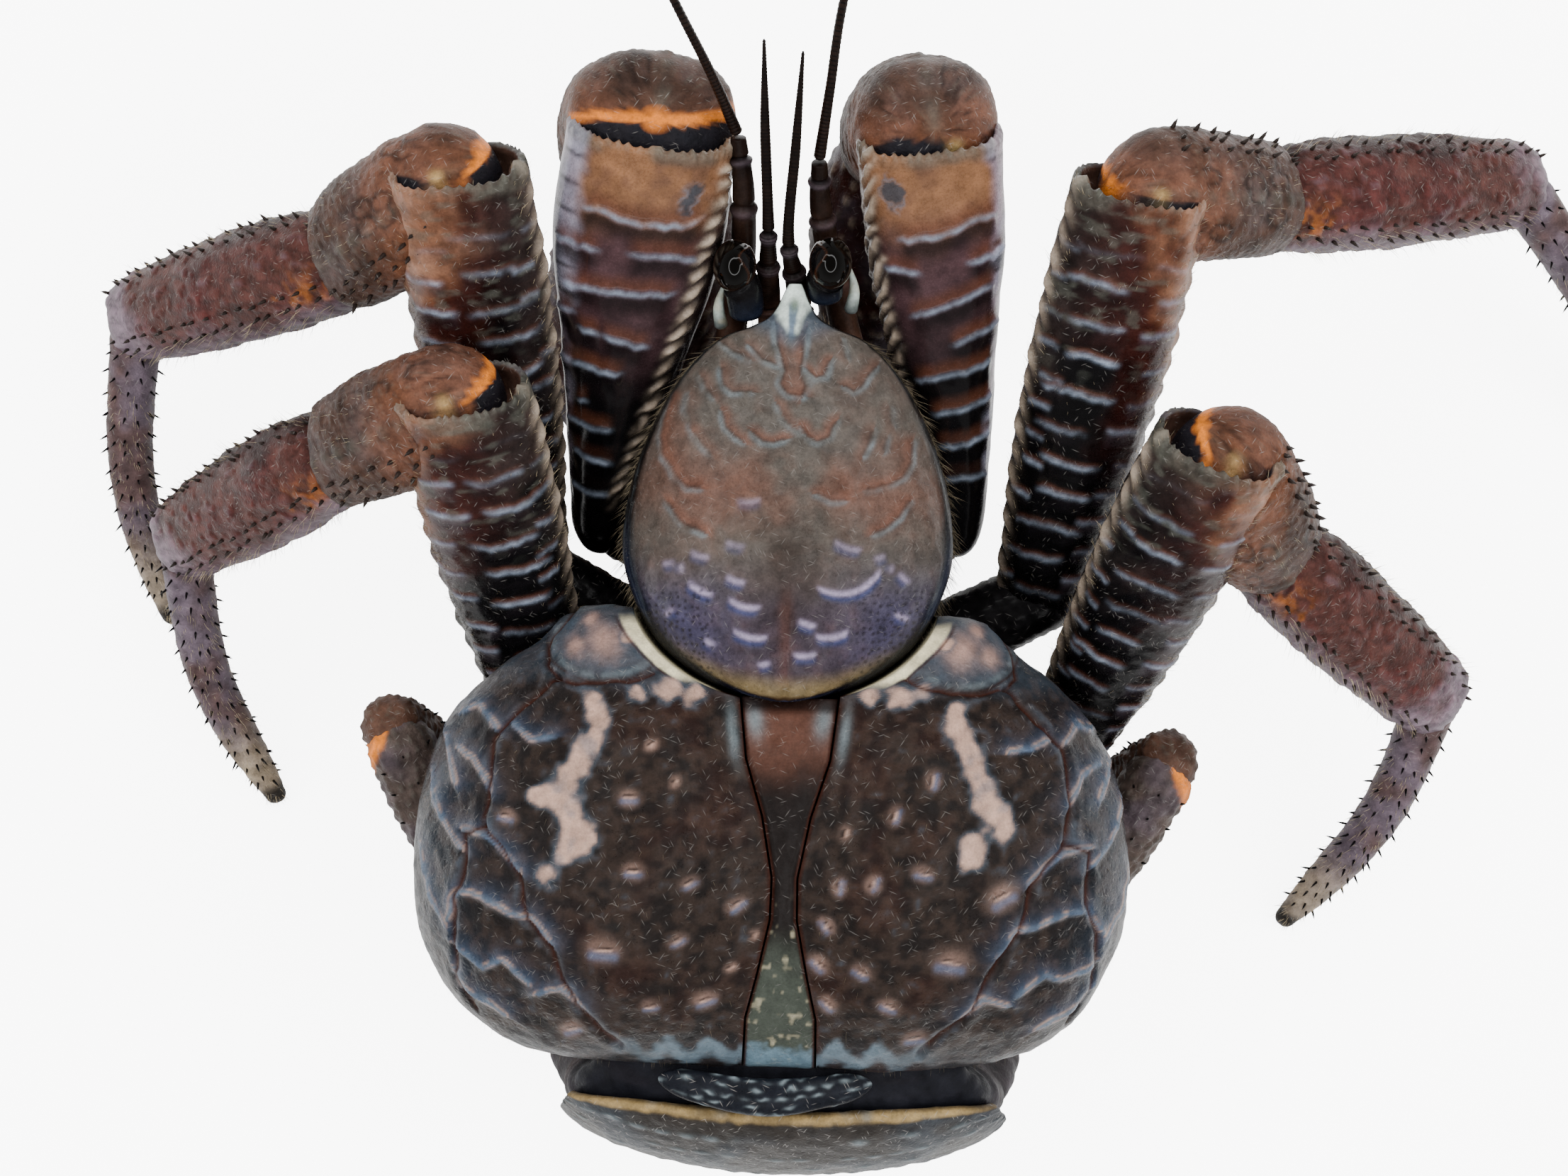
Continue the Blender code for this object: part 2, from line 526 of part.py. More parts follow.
def make_breast():
    """The breastplate between the legs and the mouth frame in front of it."""
    rear, front, half_width, bottom = BREAST
    rings = []
    for forward, top in BREAST_TOPS:
        low = bottom + (2.5 if forward in (rear, front) else 0.0)
        outline = [(-half_width, low + 4), (-half_width * 0.6, low), (half_width * 0.6, low),
                   (half_width, low + 4), (half_width, top), (-half_width, top)]
        rings.append([(x, forward, z) for x, z in outline])
    add_object("breastplate", solid_from_rings(rings), "body_shell", (0, rear, bottom))
    make_limb("mouth_frame", "body_shell", MOUTH_SPINE, MOUTH_WIDTH, MOUTH_DEPTH,
              caps=(2, 4), rings=1, sides=10)


def abdomen_point(t, angle, grow):
    """Point of the curled bag: t runs along it, the angle round it in degrees from its outer line."""
    spine = np.asarray(ABDOMEN_SPINE, float)
    tangent = unit(smooth(spine, min(t + 0.01, 1.0)) - smooth(spine, max(t - 0.01, 0.0)))
    outer = np.cross((1.0, 0.0, 0.0), tangent)
    outer = outer if np.dot(outer, smooth(spine, t) - np.array((2.0, -20.0, 30.0))) > 0 else -outer
    turn = math.radians(angle)
    half_width = smooth(ABDOMEN_WIDTH, t) / 2 + grow
    half_depth = smooth(ABDOMEN_DEPTH, t) / 2 + grow
    across = np.array((half_width * math.sin(turn), 0.0, 0.0))
    return smooth(spine, t) + across + outer * half_depth * math.cos(turn)


def make_abdomen(dome):
    """The soft bag, flat where it lies on the floor, its four back plates and the tail plate."""
    middle, length, width, thick = TAIL_PLATE
    stations, sides = 12, 16

    def lie_height(forward):
        return 0.0 if forward < middle - length / 2 - 10.0 else thick + GAP

    rings = []
    for index in range(stations):
        t = index / (stations - 1)
        ring = [abdomen_point(t, 360.0 * (side + 0.5) / sides, 0.0) for side in range(sides)]
        rings.append([(x, y, max(z, lie_height(y))) for x, y, z in ring])
    bag = add_object("abdomen", solid_from_rings(rings), "soft_skin", ABDOMEN_SPINE[2])
    carve(bag, dome)
    for name, (first, last, wrap) in BACK_PLATES.items():
        rings = []
        for angle in np.linspace(-wrap, wrap, 10):
            outer = [abdomen_point(t, angle, GAP + PLATE_THICK) for t in np.linspace(first, last, 3)]
            inner = [abdomen_point(t, angle, GAP + 0.8) for t in np.linspace(last, first, 3)]
            rings.append(outer + inner)
        plate = add_object(name, solid_from_rings(rings), "body_shell", ABDOMEN_SPINE[2])
        carve(plate, dome)
    make_limb("tergite_1", "body_shell", ((-16.5, -37.4, 53.6), (-1.0, -39.4, 55.6), (14.5, -37.4, 53.6)),
              (3.6, 5.0, 3.6), (1.6, 2.2, 1.6), caps=(1, 1), rings=3, sides=6)
    half_long, half_wide = length / 2, width / 2
    rings = [[(half_wide * grow * math.cos(a), middle + half_long * grow * math.sin(a), z)
              for a in np.linspace(0, 2 * math.pi, 16, endpoint=False)]
             for z, grow in ((0.0, 0.93), (0.5, 1.0), (thick, 0.97))]
    add_object("tail_plate", solid_from_rings(rings), "body_shell", (0, middle, 0))


def make_eye(side):
    """Eye and the stalk that holds it, the stalk hollowed to the eye's shape."""
    centre = np.array(EYE_CENTRES[side])
    mesh = bmesh.new()
    bmesh.ops.create_uvsphere(mesh, u_segments=12, v_segments=7, radius=1.0)
    for vertex in mesh.verts:
        vertex.co = Vector(centre + np.array(vertex.co) * np.array(EYE_RADII)) * MM
    eye = add_object(f"eye_{side}", mesh, "eye_surface", centre)
    inward = 1.5 if side == "left" else -1.5
    spine = (STALK_BASES[side], (centre + np.array(STALK_BASES[side])) / 2 + (inward * 0.3, 0, 0.3),
             centre + np.array((inward * 0.2, -2.0, -0.8)))
    stalk = make_limb(f"eyestalk_{side}", "body_shell", spine, STALK_WIDTH, STALK_WIDTH,
                      caps=(1, 2), rings=1, sides=8)
    carve(stalk, eye)


def make_feelers(side):
    """Eye, first and second antenna and mouth leg of one side."""
    make_eye(side)
    make_limb(f"antennule_{side}", "feeler_shell", ANTENNULE_SPINES[side], ANTENNULE_WIDTH, ANTENNULE_WIDTH,
              square=2.0, caps=(1, 1), rings=6, sides=5)
    make_limb(f"antenna_base_{side}", "feeler_shell", ANTENNA_SPINES[side], ANTENNA_WIDTH, ANTENNA_WIDTH,
              square=2.0, caps=(1, 0), rings=3, sides=7)
    make_limb(f"antenna_whip_{side}", "feeler_shell", WHIP_SPINES[side], WHIP_WIDTH, WHIP_WIDTH,
              square=2.0, caps=(0, 0), rings=9, sides=5)
    make_limb(f"mouth_leg_{side}", "feeler_shell", FEELER_POINTS[side], FEELER_WIDTH, FEELER_WIDTH,
              up=(1, 0, 0), caps=(2, 2), rings=4, sides=6)


def main():
    clear_scene()
    make_materials()
    bpy.context.scene.collection.objects.link(bpy.data.objects.new("crab", None))
    make_walking_legs()
    make_claws()
    make_fourth_legs()
    make_shield()
    near = [thing for thing in bpy.data.objects if thing.name in (
        "leg3_left_merus", "leg3_right_merus", "leg4_left_merus", "leg4_right_merus")]
    dome = make_gill_covers(near)
    make_breast()
    make_abdomen(dome)
    for side in ("left", "right"):
        make_feelers(side)


main()
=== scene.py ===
"""Looks of a life-size coconut crab model: shell plates, ridged legs, eyes, feelers and bristles.

Shapes are worked out in millimetres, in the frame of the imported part, and turned into metres where a
mesh is made. +X is the crab's right, +Y its front and +Z up. Colours are given as they look on a screen.
"""

import math

import bpy
import mathutils
import numpy as np
from bpy.props import FloatProperty, FloatVectorProperty, PointerProperty
from bpy.types import Operator, Panel, PropertyGroup
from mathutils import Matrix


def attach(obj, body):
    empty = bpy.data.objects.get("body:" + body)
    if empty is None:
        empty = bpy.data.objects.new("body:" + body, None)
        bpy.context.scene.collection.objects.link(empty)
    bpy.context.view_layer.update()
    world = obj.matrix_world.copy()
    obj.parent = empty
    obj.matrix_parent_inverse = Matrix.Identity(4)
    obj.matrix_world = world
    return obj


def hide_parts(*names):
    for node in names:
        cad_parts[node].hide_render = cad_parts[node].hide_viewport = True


bl_info = {
    "name": "Coconut Crab Looks",
    "version": (1, 0, 0),
    "blender": (4, 5, 0),
    "location": "View3D > Sidebar > Crab",
    "description": "Dresses the crab's solids with shell relief, markings, eyes and bristles",
    "category": "Object",
}

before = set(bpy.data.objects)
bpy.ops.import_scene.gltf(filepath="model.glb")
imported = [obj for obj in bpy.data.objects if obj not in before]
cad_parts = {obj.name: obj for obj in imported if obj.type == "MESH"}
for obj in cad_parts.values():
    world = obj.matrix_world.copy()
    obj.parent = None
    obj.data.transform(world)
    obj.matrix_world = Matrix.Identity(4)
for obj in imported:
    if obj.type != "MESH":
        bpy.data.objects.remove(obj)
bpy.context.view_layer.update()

MM = 0.001
SIDES = {"left": -1, "right": 1}
LEGS = ("leg2_left", "leg2_right", "leg3_left", "leg3_right")

# ---- sizes of the solids, in millimetres

SEGMENT_LENGTHS = {"leg2": (67.5, 27, 50, 52), "leg3": (59.5, 26.5, 45, 48.5)}
PAIR_BULK = {"leg2": 1, "leg3": 0.97}
# Each leg's knee, then the azimuth and elevation of merus, carpus and propodus, and the dactyl's azimuth.
LEG_POSES = {
    "leg2_left": ((-47.2, 89.8, 68.1), (-7, 37), (-117, -39), (-100, -40), 177),
    "leg2_right": ((47.6, 90.2, 65.5), (9, 32), (83, -36), (80, -30), 145),
    "leg3_left": ((-45.7, 58.9, 66.7), (-11, 40), (-110, -36), (-113, -45), 164),
    "leg3_right": ((59.2, 54.5, 67.5), (19, 43), (138, -48), (125, -34), -155),
}
COXA = {"claw": (14, 37.5, 25), "leg2": (14, 20.5, 25), "leg3": (14, 7, 25)}
TOE_HEIGHT = 0.4
# How far a thigh's rim reaches past the knee, the radius of the rim's roll, and the radius of the socket as a
# share of the thigh's width.
RIM_REACH = 1.5
RIM_ROLL = 0.8
SOCKET = 0.46
MERUS = ((11, 15.5, 18.8, 19.8, 19), (9.5, 12, 14, 14.5, 13.5))
CARPUS = ((14.5, 18, 18.5, 17.5, 15.5), (12.5, 14.5, 15, 14.5, 13))
# Where a knee piece starts: that far back along itself, and that far below the knee.
CARPUS_START = (6, 3.5)
PROPODUS = ((14, 16.6, 16.6, 15, 12.6), (12.5, 14, 13.5, 12.5, 11))
DACTYL = ((8.2, 7.3, 6.8, 6, 3), (8.8, 8, 7, 5.6, 2.8))
# How far a foot bends outwards at its middle.
DACTYL_BEND = 3.5
BASE = ((13, 12.6, 12, 11.4, 11), (13.5, 13, 12.5, 11.5, 10.5))

# Claw legs: shoulder, elbow, wrist, finger root and finger tip.
CLAW_POINTS = {
    "left": ((-28.6, 43.5, 30), (-20.9, 97, 64), (-24.5, 99.5, 38), (-22, 67, 15), (-17, 41, 1.6)),
    "right": ((25.5, 44.5, 30), (18.3, 97, 64), (16, 101.5, 39), (12.5, 74, 16), (8, 54, 0.9)),
}
CLAW_MERUS = {
    "left": ((7.5, 13, 18.3, 24.4, 23.6), (12, 14, 17, 19, 18)),
    "right": ((7.5, 12, 15.5, 19.5, 20.5), (12, 13, 15, 16.5, 16)),
}
CLAW_CARPUS = {
    "left": ((21, 24.5, 25, 24, 20), (18, 20, 20.5, 20, 17)),
    "right": ((17, 20.5, 21.5, 20.5, 17), (17, 20, 20.5, 19, 16)),
}
CLAW_PALM = {
    "left": ((17, 27, 29.5, 24, 12.5, 10, 6), (15, 21, 22, 18, 11.5, 8.5, 5)),
    "right": ((15, 22.5, 24.5, 20, 10.5, 8.5, 5), (13.5, 17.5, 18.5, 15, 9.5, 7, 4.2)),
}
CLAW_FINGER = {
    "left": ((11.5, 12, 10.5, 8, 5), (12, 12, 10, 7.5, 5)),
    "right": ((9.5, 10, 8.5, 6.5, 4.2), (10, 10, 8, 6, 4.2)),
}
FINGER_SPREAD = {"left": 6.4, "right": 5.2}

# Small fourth legs: centre line from the breastplate to the knee, then wrist and hand tip.
LEG4_POINTS = {
    "left": ((-14.3, -7, 25), (-34, -11, 27), (-49, -7, 31), (-59.8, 12, 37)),
    "right": ((14.3, -7, 25), (34, -11, 27), (48, -8, 31), (59.1, 10, 37)),
}
LEG4_WRIST_OFFSET = (-4.5, -4.5, -14)
LEG4_HAND_OFFSET = (-8, -15.5, -8)

# Shield: distance forward, half width, height of the widest line, top and bottom.
SHIELD_STATIONS = (
    (18, 3, 52, 65, 41), (19, 8, 50, 65.6, 39.5), (21.5, 13.6, 48, 66, 38.5), (25.5, 18.6, 46.5, 66.4, 38),
    (31, 22, 45.5, 66.6, 38), (38, 24.2, 45.5, 66.4, 38.5), (45.5, 23.8, 47, 66, 41.5),
    (53, 21.8, 49.5, 65.4, 45.5), (60, 18.6, 52.5, 64.2, 49.5), (65.5, 14.8, 55, 63, 52.5),
    (69.5, 10.4, 56.8, 62.2, 54.8), (71.2, 6.2, 57.8, 61.8, 56.2), (73, 3.2, 58.6, 61.5, 57.4),
    (77.2, 1, 59.7, 60.9, 58.8),
)
SHIELD_BACK = 18
# Gill covers and heart plate as one dome: forward, half width, top of the section.
GILL_STATIONS = (
    (30.3, 30, 55.5), (29, 31.6, 59), (25.5, 34.5, 63), (21, 41, 66.5), (13.5, 47.5, 70.5), (4, 51.2, 73),
    (-6, 52.2, 73.5), (-16, 51.4, 71.5), (-25, 47.6, 67.5), (-31, 42, 62.5), (-34.5, 35, 58), (-36.2, 28, 52),
)
GILL_FRONT = 30.3
GILL_REAR = -36.2
GILL_MIDDLE = -1.2
GILL_EQUATOR = 47
GILL_BOTTOM = 33.5
# How far below the widest line a cover's flank turns in, in degrees round the section.
FLANK_END = 62
# The rise over the widest line at which the valley across a cover has its full depth.
DOME_RISE = 26
VALLEY_DEPTH = 6.5
VALLEY_WIDTH = 13
# Half width of the plate over the heart, an hourglass, against distance forward.
HEART_PLATE = ((19, 7), (10, 5.9), (2, 3.4), (-6.5, 1.8), (-12.5, 1.9), (-20, 3.4), (-27, 5), (-40, 5.4))
HEART_MIDDLE = 0.9
# Half gaps beside the heart plate and round the shield.
HEART_GAP = 0.15
SHIELD_GAP = 0.35

ABDOMEN_SPINE = (
    (0.5, -30, 50), (1.5, -39, 44.5), (2, -42, 32), (2, -36, 20), (2, -22, 12.5), (1, -6, 8), (0.5, 7, 7.5),
)
ABDOMEN_WIDTH = (44, 62, 69, 76, 76, 62, 34)
ABDOMEN_DEPTH = (8, 17, 23, 27, 27, 16, 10)
# Back plates: stretch of the bag that each covers and half the angle that it wraps.
BACK_PLATES = {
    "tergite_2": (0.125, 0.315, 76),
    "tergite_3": (0.33, 0.455, 62),
    "tergite_4": (0.47, 0.585, 56),
}
PLATE_LIFT = 1.9
FIRST_PLATE = ((-16.5, -37.4, 53.7), (-1, -39.4, 55.7), (14.5, -37.4, 53.7))
# Tail plate: middle, length, width and thickness.
TAIL_PLATE = (-3.5, 15.5, 20, 2)

BREAST = (-9, 44, 13, 18.5)
BREAST_TOPS = ((-9, 32.3), (22, 32.3), (24.6, 37.2), (38, 37.2), (44, 38.4))
MOUTH_SPINE = ((0, 46.6, 32.5), (0, 55, 37.5), (0, 66, 46))

EYE_CENTRES = {"left": (-8.7, 79.4, 61.6), "right": (4.9, 80.2, 61.6)}
EYE_RADII = (3.05, 3.8, 3.1)
STALK_BASES = {"left": (-6.8, 72.6, 57.2), "right": (4.35, 75.3, 57.7)}
ANTENNULE_SPINES = {
    "left": ((-3.4, 70, 51.5), (-3.9, 77, 55), (-4.1, 85.5, 63.5), (-4.8, 97, 72.5), (-5.2, 107.7, 80)),
    "right": ((1.2, 70, 51.5), (0.4, 77, 55), (-1.2, 83.5, 63), (-0.5, 95, 72), (0.1, 106.2, 80)),
}
ANTENNA_SPINES = {
    "left": ((-9.6, 68.5, 49), (-7.8, 80, 55), (-7.7, 89.5, 63), (-8.6, 96.7, 67.5)),
    "right": ((8.5, 68.5, 49), (5.2, 80, 55), (3.3, 88, 61.5), (2.8, 93.6, 67)),
}
WHIP_SPINES = {
    "left": (
        (-8.7, 97, 68), (-12.4, 103.9, 75), (-17.3, 111.7, 84), (-25, 125, 95.5), (-35, 139, 103),
        (-46, 152, 104.5),
    ),
    "right": (
        (2.8, 93.9, 67.5), (3.9, 102, 75), (5.3, 112.3, 84), (9, 127, 95.5), (15.5, 142, 102),
        (24, 156, 102.5),
    ),
}
FEELER_POINTS = {
    "left": ((-5.8, 46, 24), (-7, 60, 27.5), (-5.6, 69.5, 34.5), (-4.4, 71, 45)),
    "right": ((5.8, 46, 24), (7, 60, 27.5), (5, 69.5, 34.5), (3.4, 71, 45)),
}


# Feelers: name, spines, widths, places of joints, brightness, spacing of rings, rows and columns.
FEELERS = (
    ("antennule", ANTENNULE_SPINES, (3, 3.4, 1.7, 1.35, 0.4), (0.17, 0.36, 0.47), 1, 0.45, 330, 24),
    ("antenna_base", ANTENNA_SPINES, (4.4, 3.8, 3.2, 2.2), (0.3, 0.62, 0.88), 1.3, 0, 150, 36),
    ("antenna_whip", WHIP_SPINES, (1.7, 1.35, 1.2, 1.1, 0.9, 0.5), (), 1.6, 0.85, 620, 16),
)

# Lamps: name, place, width in metres and power; all point at the same place.
LAMPS = (
    ("lamp front", (0, 0.8, 0.75), 0.8, 11),
    ("lamp left", (-0.8, 0.05, 0.75), 0.8, 9.6),
    ("lamp right", (0.8, 0, 0.75), 0.8, 9.6),
    ("lamp rear", (0.05, -0.8, 0.75), 0.8, 7.2),
)
LAMP_AIM = (0, 0.03, 0.05)
FLOOR_HALF = 4
FLOOR_GLOW = 7
# Ring lamp over the camera: radius, width and height in metres, and strength.
RING_LAMP = (0.22, 0.036, 0.44, 4)
# Strength of the surroundings straight above and at the horizon.
WORLD_LIGHT = (0.1, 0.3)
CAMERA_PLACE = (-0.00036, 0.034, 0.42)
CAMERA_TURN = 1.68
LENS = 58.1

# ---- what a user would change


def shade(name, rgb, text):
    """A colour as it looks on a screen, given from 0 to 255."""
    return FloatVectorProperty(
        name=name, description=text, default=[part / 255 for part in rgb], size=3, min=0, max=1,
        subtype="COLOR_GAMMA")


def length(name, millimetres, text):
    return FloatProperty(name=name, description=text, default=millimetres * MM, min=0, unit="LENGTH",
                         precision=5)


class CrabColours(PropertyGroup):
    """Colours of the shell, its markings and the soft skin."""

    shield_grey: shade("Shield grey", (73, 68, 63), "Front of the shield")
    shield_rust: shade("Shield rust", (95, 61, 48), "Warm patches of the shield")
    shield_violet: shade("Shield violet", (58, 50, 58), "Rear of the shield")
    scallop_line: shade("Scallop line", (104, 114, 118), "Pale edges of the shield's scallops")
    dash: shade("Dash", (146, 134, 158), "Short pale dashes")
    # The blue under each dash is partly the shell's colour and partly painted shadow.
    dash_blue: shade("Dash blue", (46, 54, 92), "Blue lower edge of a dash")
    beak: shade("Beak", (182, 194, 186), "Pale beak of the shield")
    # Also used for the thin painted shadow inside the edges of the shield's scallops.
    gill_dark: shade("Gill cover", (25, 21, 20), "Ground of the gill covers")
    gill_blue: shade("Gill cover blue", (70, 82, 94), "Blue-grey edges of the covers' plates")
    # Also used for painted highlights: the soft patches on the cover bulges and the lips beside the spots'
    # slits.
    blotch: shade("Blotch", (174, 141, 124), "Pinkish-cream blotches")
    suture: shade("Suture", (48, 23, 15), "Thin lines between plates")
    cream: shade("Cream", (209, 199, 165), "Soft skin between plates")
    # Also laid as painted shade: behind the ridges of thighs, over the shield's steep sides and over a claw
    # thigh's inner face.
    leg_black: shade("Leg black", (6, 5, 6), "Root and inner side of a thigh")
    leg_maroon: shade("Leg maroon", (46, 19, 15), "Middle of a thigh")
    leg_orange: shade("Leg orange", (116, 67, 39), "Far end and outer side of a thigh")
    leg_brown: shade("Leg brown", (72, 50, 40), "Shins and feet")
    carpus: shade("Knee", (72, 61, 56), "Knee pieces")
    leg_lilac: shade("Leg lilac", (90, 79, 88), "Undersides and far ends of shins")
    ridge_line: shade("Ridge line", (124, 134, 150), "Pale line along a ridge")
    ridge_rust: shade("Ridge rust", (80, 46, 32), "Rusty rim in front of a ridge")
    tubercle: shade("Tubercle", (153, 138, 122), "Rows of small knobs along an edge")
    rim: shade("Rim", (84, 86, 78), "Notched rim at the end of a segment")
    tan: shade("Tan", (126, 88, 60), "Smooth far end of a claw's thigh")
    joint_dark: shade("Joint dark", (20, 22, 28), "Membrane in a joint")
    joint_orange: shade("Joint orange", (214, 120, 36), "Bright band beside a joint")
    bag: shade("Bag", (38, 33, 36), "Soft bag of the abdomen")
    plate: shade("Back plate", (42, 38, 35), "Back plates of the abdomen")
    eye: shade("Eye", (3, 2, 1), "Cornea")
    stalk: shade("Eyestalk", (16, 20, 30), "Eyestalks and the tongue over each eye")
    feeler: shade("Feeler", (20, 12, 9), "Feelers")
    hair: shade("Hair", (176, 160, 132), "Bristles")
    floor: shade("Floor", (251, 251, 250), "Floor under the crab")


class CrabSizes(PropertyGroup):
    """Heights and lengths of the relief and the bristles."""

    ridge: length("Ridge", 0.55, "Height of a ridge on a claw's thigh")
    leg_ridge: length("Leg ridge", 0.45, "Height of a ridge on a walking leg's thigh")
    scallop: length("Scallop", 0.3, "Height of the shield's scallops")
    groove: length("Groove", 0.45, "Depth of the lines between plates")
    spine: length("Spine", 1.3, "Length of a small spine")
    hair: length("Hair", 2.2, "Length of a bristle")
    knob: length("Knob", 0.8, "Height of a knob on the edge of a thigh")


def hue(name):
    """A colour of the palette as linear light."""
    value = np.array(getattr(bpy.context.scene.crab_colours, name))
    return np.where(value > 0.04045, ((value + 0.055) / 1.055) ** 2.4, value / 12.92)


def size(name):
    """A size of the relief or the bristles in millimetres."""
    return getattr(bpy.context.scene.crab_sizes, name) / MM


# ---- curves and fields


def unit(vectors):
    vectors = np.asarray(vectors, float)
    return vectors / np.linalg.norm(vectors, axis=-1, keepdims=True)


def heading(azimuth, elevation):
    """Unit vector of a direction in degrees, the azimuth from +Y towards +X."""
    across, rise = math.radians(azimuth), math.radians(elevation)
    return np.array([math.sin(across) * math.cos(rise), math.cos(across) * math.cos(rise), math.sin(rise)])


def smooth(values, t):
    """Cubic curve through evenly spaced values, their slopes central differences, read at shares t."""
    values = np.asarray(values, float)
    t = np.asarray(t, float)
    last = len(values) - 1
    slopes = np.gradient(values, axis=0)
    place = np.clip(t, 0, 1) * last
    step = np.minimum(place.astype(int), last - 1)
    u = place - step
    if values.ndim > 1:
        u = u[..., None]
    return (
        (2 * u**3 - 3 * u**2 + 1) * values[step]
        + (u**3 - 2 * u**2 + u) * slopes[step]
        + (3 * u**2 - 2 * u**3) * values[step + 1]
        + (u**3 - u**2) * slopes[step + 1]
    )


def ramp(value, low, high):
    """0 below 'low', 1 above 'high' and a smooth S between them; 'low' may be the larger."""
    share = np.clip((value - low) / (high - low), 0, 1)
    return share * share * (3 - 2 * share)


def bell(value, middle, width):
    """Bell curve, 1 at the middle."""
    return np.exp(-(((value - middle) / width) ** 2))


def beat(value, width):
    """A bell at every whole number."""
    return bell(value - np.round(value), 0, width)


def cliff(u, before, after):
    """1 at u = 0, fading over the length 'before' on the negative side and 'after' on the positive side."""
    return np.where(u > 0, np.exp(-u / after), np.exp(u / before))


def dome(share):
    """Height of a quarter circle, from 0 at its foot to 1 at its top."""
    return np.sqrt(1 - (1 - np.clip(share, 0, 1)) ** 2)


def stack(*parts):
    """Values side by side along a new last axis, each stretched to the common shape."""
    return np.stack(np.broadcast_arrays(*parts), axis=-1)


def turned(x, y, middle_x, middle_y, degrees):
    """Distances along and across a short line that runs through a point at that turn."""
    c, s = math.cos(math.radians(degrees)), math.sin(math.radians(degrees))
    return (x - middle_x) * c + (y - middle_y) * s, -(x - middle_x) * s + (y - middle_y) * c


def scatter(*whole, seed=0):
    """A number from 0 to 1 for each set of whole numbers: the broken part of a large sine."""
    mixed = seed * 37.719
    for part, factor in zip(whole, (12.9898, 78.233, 53.539)):
        mixed = mixed + np.asarray(part, float) * factor
    value = np.sin(mixed) * 43758.5453
    return value - np.floor(value)


def cloud(points, wide, seed=0, layers=3):
    """Soft noise from about -1 to 1: chance values at the corners of cubes, blended, with finer layers."""
    total = np.zeros(points.shape[:-1])
    share = 1
    for layer in range(layers):
        place = points / (wide / 2**layer) + 11.3 * layer
        corner = np.floor(place)
        part = place - corner
        part = part * part * (3 - 2 * part)
        value = 0
        for step in np.ndindex(2, 2, 2):
            x, y, z = np.moveaxis(corner + step, -1, 0)
            near = np.abs(1 - np.array(step) - part)
            weight = near[..., 0] * near[..., 1] * near[..., 2]
            value = value + weight * scatter(x, y, z, seed=seed + layer)
        total += share * (2 * value - 1)
        share /= 2
    return total


def studs(u, v, pitch, seed=0):
    """Distance to the nearest of scattered points, one in each square, and that point's number."""
    best, number = np.full(np.shape(u), 1e9), np.zeros(np.shape(u))
    cu, cv = np.floor(u / pitch), np.floor(v / pitch)
    for du, dv in np.ndindex(3, 3):
        iu, iv = cu + du - 1, cv + dv - 1
        x = (iu + 0.5 + 0.35 * (2 * scatter(iu, iv, seed=seed) - 1)) * pitch
        y = (iv + 0.5 + 0.35 * (2 * scatter(iu, iv, seed=seed + 5) - 1)) * pitch
        away = np.hypot(u - x, v - y)
        nearer = away < best
        best = np.where(nearer, away, best)
        number = np.where(nearer, scatter(iu, iv, seed=seed + 9), number)
    return best, number


def lay(under, over, weight, bright=1):
    """One colour laid over another, by a weight at each point; 'over' is a colour or its name."""
    over = hue(over) if isinstance(over, str) else over
    return under + (over * bright - under) * np.clip(weight, 0, 1)[..., None]


def coats(tint, *layers):
    """Lays colours one after another, each given as for lay()."""
    for layer in layers:
        tint = lay(tint, *layer)
    return tint


def dapple(tint, amount):
    """A colour made lighter and darker by an amount at each point."""
    return tint * (1 + amount[..., None])


def from_line(x, y, line):
    """Distance of each point from a bent line, and 1 or -1 for its left or right side going along it."""
    best = np.full(np.shape(x), 1e9)
    side = np.ones(np.shape(x))
    for (ax, ay), (bx, by) in zip(line, line[1:]):
        dx, dy = bx - ax, by - ay
        along = np.clip(((x - ax) * dx + (y - ay) * dy) / (dx * dx + dy * dy), 0, 1)
        away = np.hypot(x - ax - along * dx, y - ay - along * dy)
        nearer = away < best
        best = np.where(nearer, away, best)
        side = np.where(nearer, np.sign(dx * (y - ay) - dy * (x - ax)), side)
    return best, side


def normals_of(grid):
    """Outward unit normals of a grid whose columns close into rings."""
    around = np.roll(grid, -1, axis=1) - np.roll(grid, 1, axis=1)
    along = np.gradient(grid, axis=0)
    normal = np.cross(around, along)
    normal /= np.linalg.norm(normal, axis=-1, keepdims=True) + 1e-9
    outward = np.sum(normal * (grid - grid.mean(axis=1, keepdims=True)), axis=-1)
    return normal if np.median(outward) > 0 else -normal


# ---- meshes and finishes


def fill(rows, key, values, kind=np.float32):
    """Writes numbers into a mesh's rows, all at once."""
    rows.foreach_set(key, values.astype(kind).reshape(-1))


